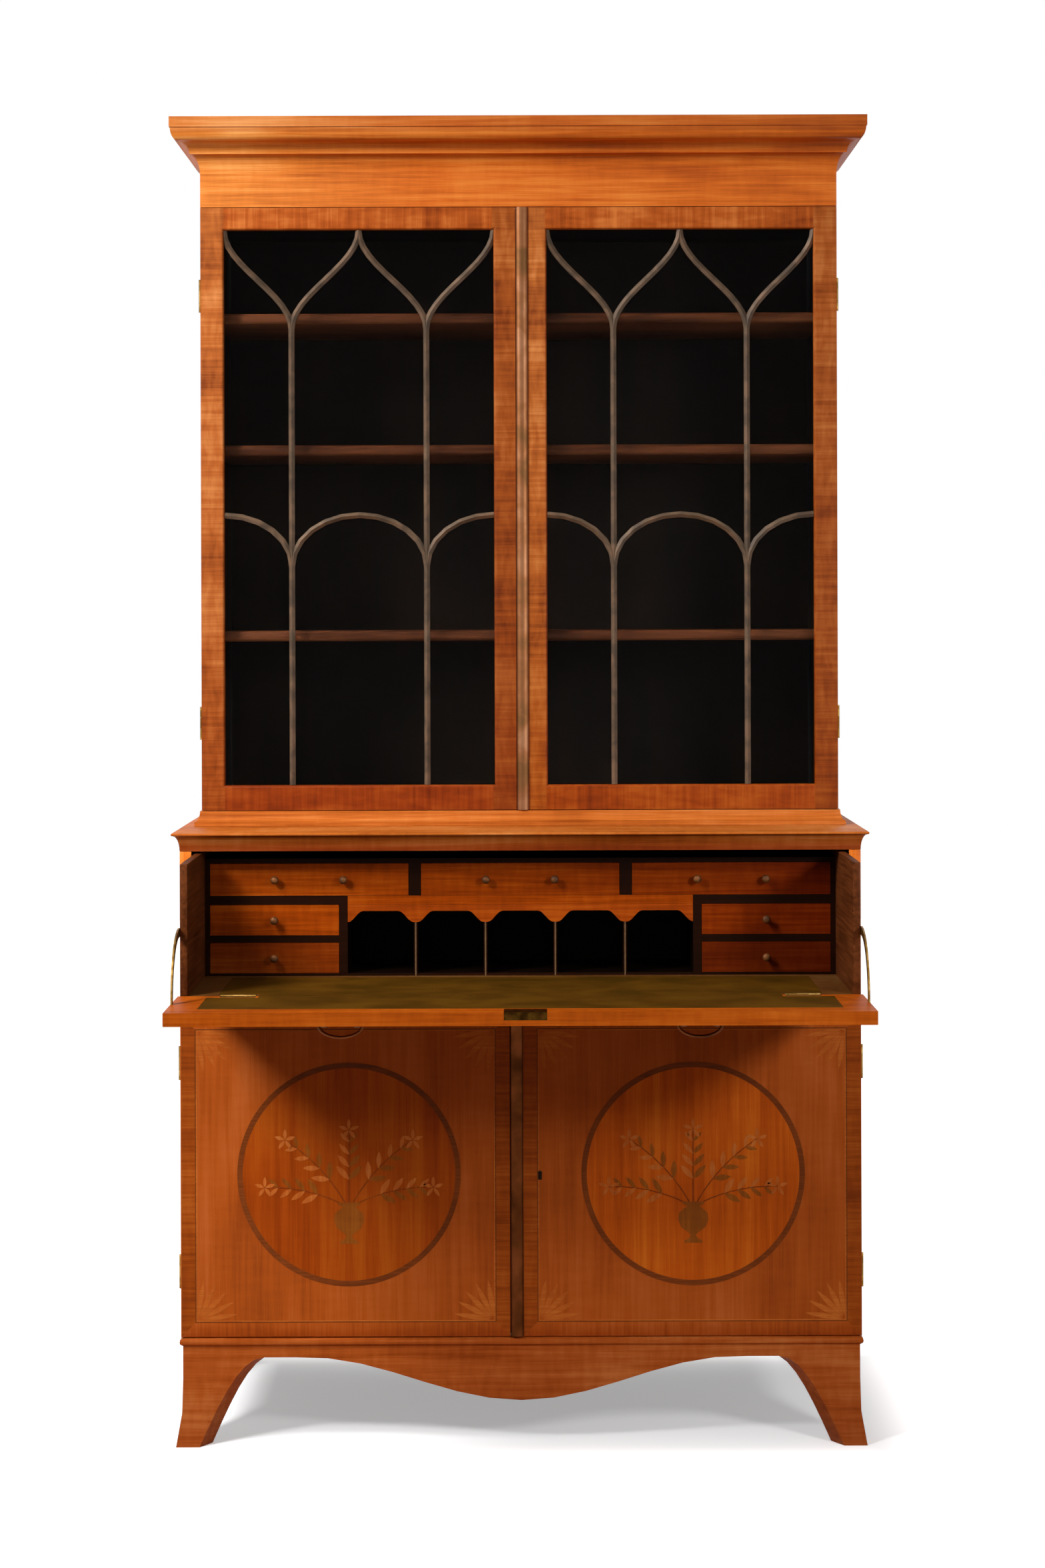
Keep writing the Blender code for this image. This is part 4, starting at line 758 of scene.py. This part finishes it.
def add_stem(tones, x, y, lean, length, bend):
    """A bent stem, extruded step by step, with paired leaves and a flower at its tip."""
    heading = math.pi / 2 + lean
    across = Vector((math.sin(heading), -math.cos(heading), 0)) * STEM / 2
    bm = tones["dark"]
    end = [bm.verts.new(Vector((x, y, 0)) + side * across) for side in (-1, 1)]
    edge = bm.edges.new(end)
    for k in range(STEM_STEPS):
        stride = Vector((math.cos(heading), math.sin(heading), 0)) * length / STEM_STEPS
        x, y = x + stride.x, y + stride.y
        grown = bmesh.ops.extrude_edge_only(bm, edges=[edge])["geom"]
        end = [item for item in grown if isinstance(item, bmesh.types.BMVert)]
        edge = next(item for item in grown if isinstance(item, bmesh.types.BMEdge))
        bmesh.ops.translate(bm, verts=end, vec=stride)
        turn = bend / STEM_STEPS
        bmesh.ops.rotate(bm, verts=end, cent=(x, y, 0), matrix=Matrix.Rotation(turn, 3, 'Z'))
        heading += turn
        size = LEAF - LEAF_LESS * k
        if 0 < k < STEM_STEPS - 1:
            add_leaf(tones["green"], x, y, heading - LEAF_LEAN, size, size * LEAF_SLIM)
            add_leaf(tones["pale"], x, y, heading + LEAF_LEAN, size, size * LEAF_SLIM)
    add_flower(tones["pale"], x, y, FLOWER)


print("an urn of", len(URN), "points and leaves of 16")

# %% Disc, ring, urn and corner fans
ROUNDEL_X = 0.288
ROUNDEL_Z = 0.454
ROUNDEL = 187 * MM
RING = 9 * MM
# Quarter-cut veneer: straight soft stripes, paler than the panel, with painted shade that browns it on the
# left door
disc_veneer = polished_wood("satinwood_roundel_quartered", ("#983e07", "#b4510e", "#c86819"), along("Z"),
                            streak=12, mottle=0.05, dusk=("X", 0.1, -0.1, "#d7cec4"))
# Walnut shaded in hot sand, sycamore dyed olive, holly mellowed by polish: three quiet tones
walnut = polished_wood("walnut_inlay_shaded", ("#64290a", "#7c370e", "#8f4716"), along("Z"), streak=4)
sycamore = polished_wood("sycamore_inlay_dyed", ("#713a0e", "#864813", "#98571b"), along("Z"), streak=4)
holly = polished_wood("holly_inlay_mellowed", ("#a1501b", "#b36127", "#c17235"), along("Z"), streak=4)
# Each tone's wood, and how many veneers out it lies
FINISH = {"dark": (walnut, 1.0), "green": (sycamore, 1.2), "pale": (holly, 1.4)}
# How far each stem leans, its length, and how far it bends
STEMS = ((0, 0.125, 0), (0.55, 0.15, 0.5), (-0.55, 0.15, -0.5), (1.15, 0.135, 0.5), (-1.15, 0.135, -0.5))
FAN = 62 * MM
FAN_GAP = 6 * MM


def flat_disc(x, y, radius, segments=96):
    bm = bmesh.new()
    bmesh.ops.create_circle(bm, cap_ends=True, segments=segments, radius=radius,
                            matrix=Matrix.Translation((x, y, 0)))
    bm.normal_update()
    return bm


for side, hand in SIDES.items():
    body = f"cupboard_door_{side}"
    x = hand * ROUNDEL_X
    disc = flat_disc(x, ROUNDEL_Z, ROUNDEL - RING / 2)
    lay_veneer(f"roundel_disc_{side}", disc, [disc_veneer], body, door_plane())
    ring = flat_disc(x, ROUNDEL_Z, ROUNDEL)
    hollow(ring, RING)
    lay_veneer(f"roundel_ring_{side}", ring, [rosewood], body, door_plane(0.6))
    tones = {word: bmesh.new() for word in FINISH}
    foot = ROUNDEL_Z - 0.62 * ROUNDEL
    add_urn(tones["green"], x, foot)
    mouth = foot + URN_MOUTH
    for lean, length, bend in STEMS:
        add_stem(tones, x - lean * STEM_ROOM, mouth, lean, length, bend)
    for word, bm in tones.items():
        wood, layer = FINISH[word]
        lay_veneer(f"roundel_inlay_{word}_{side}", bm, [wood], body, door_plane(layer))
    fans = bmesh.new()
    x0, x1, z0, z1 = field[side]
    for cx, cz, start in ((x0, z0, 0), (x1, z0, 90), (x1, z1, 180), (x0, z1, 270)):
        for k in range(5):
            turn = math.radians(start + 9 + 18 * k)
            stalk = cx + FAN_GAP * math.cos(turn), cz + FAN_GAP * math.sin(turn)
            add_leaf(fans, *stalk, turn, FAN, 0.14 * FAN)
    lay_veneer(f"corner_fans_{side}", fans, [boxwood], body, door_plane())
    print("roundel on the", side, "door at", round(x, 3), ROUNDEL_Z)

# %% [markdown]
# ## Turned knobs and posts
# A brass knob is turned on a lathe, and spinning a profile is the same act: a chain of points is swept
# once round its axis and the seam is merged. The part has plain ten-sided knobs and handle posts, so
# each turned piece is drawn a third of a millimetre larger and covers one of them.

# %% Knobs on the small drawers, posts under the fall
KNOB = ((0, 0), (5.4, 0), (5.4, 1.2), (4.9, 1.9), (4.1, 3.2), (3.7, 4.6), (3.7, 6.4), (4.7, 7.8),
        (6.3, 9.5), (6.95, 11.4), (6.8, 12.9), (5.8, 14.7), (3.6, 16.1), (0, 16.6))
POST = ((0, 0), (9.3, 0), (9.3, 1.4), (8.4, 2.2), (6.4, 3.5), (6.0, 5.0), (6.0, 13.2), (5.4, 14.6),
        (3.6, 15.6), (0, 16.0))
LATHE_STEPS = 28


def turned(bm, profile, foot, out):
    """Spin (radius, height) millimetres about an axis that leaves the foot along out."""
    foot = Vector(foot)
    chain = [bm.verts.new(foot + Vector((r * MM, 0, 0)) + Vector(out) * h * MM) for r, h in profile]
    edges = [bm.edges.new(pair) for pair in zip(chain, chain[1:])]
    bmesh.ops.spin(bm, geom=chain + edges, cent=foot, axis=out, angle=2 * math.pi, steps=LATHE_STEPS,
                   use_merge=True)


def turned_piece(name, profile, feet, out, body):
    bm = bmesh.new()
    for foot in feet:
        turned(bm, profile, foot, out)
    bmesh.ops.remove_doubles(bm, verts=bm.verts, dist=0.001 * MM)
    bmesh.ops.recalc_face_normals(bm, faces=bm.faces)
    return make_piece(name, bm, [knob_brass], body, round_below=SHARP)


KNOB_SPREAD = 0.116
for name in small_drawers:
    low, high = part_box(name)
    middle = (low + high) / 2
    spread = (-0.5, 0.5) if "_top_" in name else (0,)
    feet = [(middle.x + share * KNOB_SPREAD, NEST_FACE, middle.z) for share in spread]
    turned_piece(name.replace("small_drawer", "knobs"), KNOB, feet, (0, -1, 0), name)
print("knobs on", len(small_drawers), "small drawers")

POST_SPREAD = 52 * MM
feet = []
for side in SIDES:
    low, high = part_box(f"bail_{side}")
    middle = (low + high) / 2
    feet += [(middle.x + share * POST_SPREAD, middle.y, FALL_FACE) for share in (-0.5, 0.5)]
turned_piece("bail_posts", POST, feet, (0, 0, -1), "fall")
print(len(feet), "posts on the fall's face at", round(FALL_FACE, 4))

# %% [markdown]
# ## Hinge plates and screws
# Each fall hinge shows a brass plate on both sides of its knuckles, let in flush and held by three
# countersunk screws, and the lock's plate has two. Between the hinges a strip of the lining hides the
# joint from both sides. A plate is a rectangle whose corners are bevelled round; a screw is a disc that
# two planes cut into a slot and two cheeks, and the slot is pressed in.

# %% Plates and screws of the fall
PLATE = 0.3 * MM
PLATE_SIZE = (57 * MM, 16.5 * MM)
STRIP_SIZE = (838 * MM, 21 * MM)
STRIP_ROOM = 1 * MM
PLATE_CORNER = 2.5 * MM
SCREW = 2.4 * MM
SLOT = 0.45 * MM
SLOT_DEEP = 0.35 * MM
SCREW_STEP = 19 * MM
SCREW_PROUD = 0.1 * MM
SCREW_WALL = 0.15 * MM
LOCK_SCREWS = 0.38


def add_screw(bm, place):
    """A slotted head that lies in the XY plane of a matrix, with its slot along X."""
    head = bmesh.new()
    bmesh.ops.create_circle(head, cap_ends=True, segments=20, radius=SCREW)
    for side in (-1, 1):
        bmesh.ops.bisect_plane(head, geom=head.verts[:] + head.edges[:] + head.faces[:],
                               plane_co=(0, side * SLOT, 0), plane_no=(0, 1, 0))
    slot = [f for f in head.faces if abs(f.calc_center_median().y) < SLOT]
    pressed = bmesh.ops.extrude_face_region(head, geom=slot)["geom"]
    bmesh.ops.delete(head, geom=slot, context='FACES')
    bmesh.ops.translate(head, vec=(0, 0, -SLOT_DEEP),
                        verts=[v for v in pressed if isinstance(v, bmesh.types.BMVert)])
    bmesh.ops.transform(head, matrix=place, verts=head.verts)
    mesh = to_mesh("screw", head)
    bm.from_mesh(mesh)
    bpy.data.meshes.remove(mesh)


LEVEL = Matrix.Translation((0, 0, WRITING))
LEAVES = {"fall": -1, "writing_drawer": 1}
for side in SIDES:
    low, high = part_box(f"fall_hinge_{side}")
    x = (low.x + high.x) / 2
    for body, sign in LEAVES.items():
        y = HINGE_LINE + sign * (KNUCKLE_ROOM + PLATE_SIZE[1] / 2)
        plate = flat_sheet(x, y, PLATE_SIZE, PLATE_CORNER)
        lay_veneer(f"hinge_plate_{body}_{side}", plate, [brass], body, LEVEL, PLATE)
        bm = bmesh.new()
        for k, step in enumerate((-SCREW_STEP, 0, SCREW_STEP)):
            place = Matrix.Translation((x + step, y, WRITING + PLATE + SCREW_PROUD))
            add_screw(bm, place @ Matrix.Rotation(0.5 + 0.9 * k, 4, 'Z'))
        thicken(make_piece(f"hinge_screws_{body}_{side}", bm, [brass], body), SCREW_WALL, -1.0)
for body, sign in LEAVES.items():
    y = HINGE_LINE + sign * (STRIP_ROOM + STRIP_SIZE[1] / 2)
    strip = flat_sheet(0, y, STRIP_SIZE, PLATE_CORNER)
    lay_veneer(f"lining_strip_{body}", strip, [skiver], body, LEVEL, PLATE)
low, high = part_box("fall_lock")
bm = bmesh.new()
for hand in (-1, 1):
    x = (low.x + high.x) / 2 + hand * LOCK_SCREWS * (high.x - low.x)
    place = Matrix.Translation((x, FALL_EDGE - SCREW_WALL, (low.z + high.z) / 2))
    add_screw(bm, place @ UPRIGHT @ Matrix.Rotation(0.6 * hand, 4, 'Z'))
thicken(make_piece("lock_screws", bm, [brass_patina_and_shade], "fall"), SCREW_WALL, -1.0)
print("two plates and six screws at each fall hinge, two on the lock")

# %% [markdown]
# ## Keyholes
# The right cupboard door has one small keyhole beside the meeting strip, lined with a thread of brass,
# and the fall has another on its outer face. A circle whose lowest points are pulled down is a keyhole;
# an inset gives the brass lining its width, and the flat face inside it is painted dark as the hole's
# shade.

# %% Escutcheons
KEY_X = 31.5 * MM
KEY_Z = 0.452
KEY_RADIUS = 4.2 * MM
KEY_SLIT = 7.5 * MM
KEY_LINING = 1.0 * MM
KEY_RISE = 3.5 * MM
KEY_IN = 48 * MM
# Painted shade of a deep hole: near black, a little uneven
hole_painted_shade, tree, shader, place = new_finish("keyhole_shadow", Roughness=0.9, Specular_IOR_Level=0.1)
dust = figure(tree, place, 2, 2)
fill(shader, {"Base Color": ramp(tree, dust, ("#0c0603", "#140a05", "#1e1008"))})


def keyhole(x, y):
    """A keyhole with its lining, drawn flat about (x, y)."""
    bm = flat_disc(0, 0, KEY_RADIUS, segments=24)
    for vert in bm.verts:
        if vert.co.y < -KEY_RADIUS * 2 / 3:
            vert.co.y -= KEY_SLIT
            vert.co.x *= 1.25
    bm.normal_update()
    hole = list(bm.faces)
    bmesh.ops.inset_region(bm, faces=hole, thickness=KEY_LINING, use_boundary=True, use_even_offset=True)
    for face in hole:
        face.material_index = 1
    bmesh.ops.translate(bm, verts=bm.verts, vec=(x, y + KEY_RISE, 0))
    return bm


lay_veneer("keyhole_door", keyhole(KEY_X, KEY_Z), [brass_patina_and_shade, hole_painted_shade], "cupboard_door_right",
           door_plane(), 1.5 * VENEER)
lay_veneer("keyhole_fall", keyhole(0, -FALL_EDGE - KEY_IN), [brass, hole_painted_shade], "fall",
           FACE_DOWN, 1.5 * VENEER)
print("keyholes on the door at", KEY_X, KEY_Z, "and on the fall")

# %% [markdown]
# ## The stage
# The case stands on a white floor before a white ground. The floor has to be white in the picture and still
# show the soft shadow of the case, so it glows a little for the camera, just enough to lift its lit part
# to white, and a hand's breadth outside the case the glow takes over. Reflections and panes see the same
# white. The light that the floor throws back up is that of a warm grey floor, so undersides stay dark.

# %% Floor and ground
GLOW = 0.36
GLOW_REACH = 0.16
FILL = 0.23
FLOOR_RADIUS = 9.0
bm = bmesh.new()
bmesh.ops.create_circle(bm, cap_ends=True, segments=64, radius=FLOOR_RADIUS)
floor = add_object("floor", to_mesh("floor", bm))


def seen(tree):
    """1 for rays from the camera, from a mirror or through glass."""
    path = add_node(tree, "ShaderNodeLightPath").outputs
    shiny = maths(tree, 'MAXIMUM', path["Is Glossy Ray"], path["Is Transmission Ray"])
    return maths(tree, 'MAXIMUM', shiny, path["Is Camera Ray"])


# Matt paper: no gloss, pale all over
paper, tree, shader, place = new_finish("paper_floor_white", Roughness=0.9, Specular_IOR_Level=0.0,
                                        Emission_Color=linear("#ffffff"))
parts = split(tree, place)
out = maths(tree, 'SUBTRACT', maths(tree, 'ABSOLUTE', parts["X"]), CASE_HALF)
front = maths(tree, 'SUBTRACT', DOOR_FACE, parts["Y"])
back = maths(tree, 'SUBTRACT', parts["Y"], cad_box[1].y)
out = maths(tree, 'MAXIMUM', maths(tree, 'MAXIMUM', out, front), back)
fade = add_node(tree, "ShaderNodeMapRange", {0: out, 1: 0.0, 2: GLOW_REACH, 3: GLOW, 4: 1.0},
                interpolation_type='SMOOTHSTEP')
eyes = seen(tree)
glow = maths(tree, 'MULTIPLY', fade, eyes)
pale = add_node(tree, "ShaderNodeMix", {0: eyes, 6: linear("#a88864"), 7: linear("#f4f4f4")},
                data_type='RGBA').outputs[2]
fill(shader, {"Base Color": pale, "Emission Strength": glow})
floor.data.materials.append(paper)

world = bpy.data.worlds.new("studio_white")
bpy.context.scene.world = world
world.use_nodes = True
tree = world.node_tree
strength = add_node(tree, "ShaderNodeMapRange", {0: seen(tree), 3: FILL, 4: 1.0})
fill(tree.nodes["Background"], {"Strength": strength, "Color": linear("#ffffff")})
print("white floor and ground, fill light", FILL)

# %% [markdown]
# ## Light
# Three soft lamps stand in front. A large one hangs high on the left and leaves the hollows under the
# mouldings dark. Two small ones stand at the sides, each with a grid, the honeycomb that a studio puts on
# a lamp to keep its light in a narrow cone. They light the cupboard doors and throw the shadow of the fall
# there as a dark wedge, widest under the fall. Their power is set so that a surface that faces them shows
# about the colour that was written for it.

# %% Three soft lamps
def soft_lamp(name, place, aim, size, power, grid=180):
    """A round soft box; a grid of so many degrees keeps its light on one side."""
    data = bpy.data.lights.new(name, 'AREA')
    data.shape = 'DISK'
    data.size = size
    data.energy = power
    data.spread = math.radians(grid)
    lamp = add_object(name, data)
    lamp.location = place
    lamp.rotation_euler = (Vector(aim) - Vector(place)).to_track_quat('-Z', 'Y').to_euler()
    print(name, "of", power, "W,", round((Vector(aim) - Vector(place)).length, 2), "m away")


soft_lamp("lamp_top", (-2.2, -1.9, 3.6), (0, 0.1, 1.5), 1.0, 125)
soft_lamp("lamp_left", (-2.24, -2.287, 2.613), (-0.75, 0, 0.85), 0.6, 7.0, grid=50)
soft_lamp("lamp_right", (2.0, -2.49, 1.9), (0.6, 0, 0.85), 0.6, 5.2, grid=56)

# %% [markdown]
# ## Camera
# The photograph's edges give the camera: about 5.2 m in front of the origin at 1.39 m, level, with the
# frame slid down a little so that the uprights stay parallel. The image is taken as 1568 by 2352.

# %% The photograph's point of view
IMAGE_LONG = 2352
FOCAL = 4644
HORIZON = -253.7
SENSOR = 36
camera = add_object("camera", bpy.data.cameras.new("camera"))
camera.location = (0.0052, -5.2334, 1.3894)
camera.rotation_euler = (math.pi / 2, 0.0030, 0)
camera.data.sensor_width = SENSOR
camera.data.lens = FOCAL / IMAGE_LONG * SENSOR
camera.data.shift_y = HORIZON / IMAGE_LONG
bpy.context.scene.camera = camera
bpy.context.scene.view_settings.view_transform = 'Standard'
print("lens", round(camera.data.lens, 1), "mm, shift", round(camera.data.shift_y, 4))
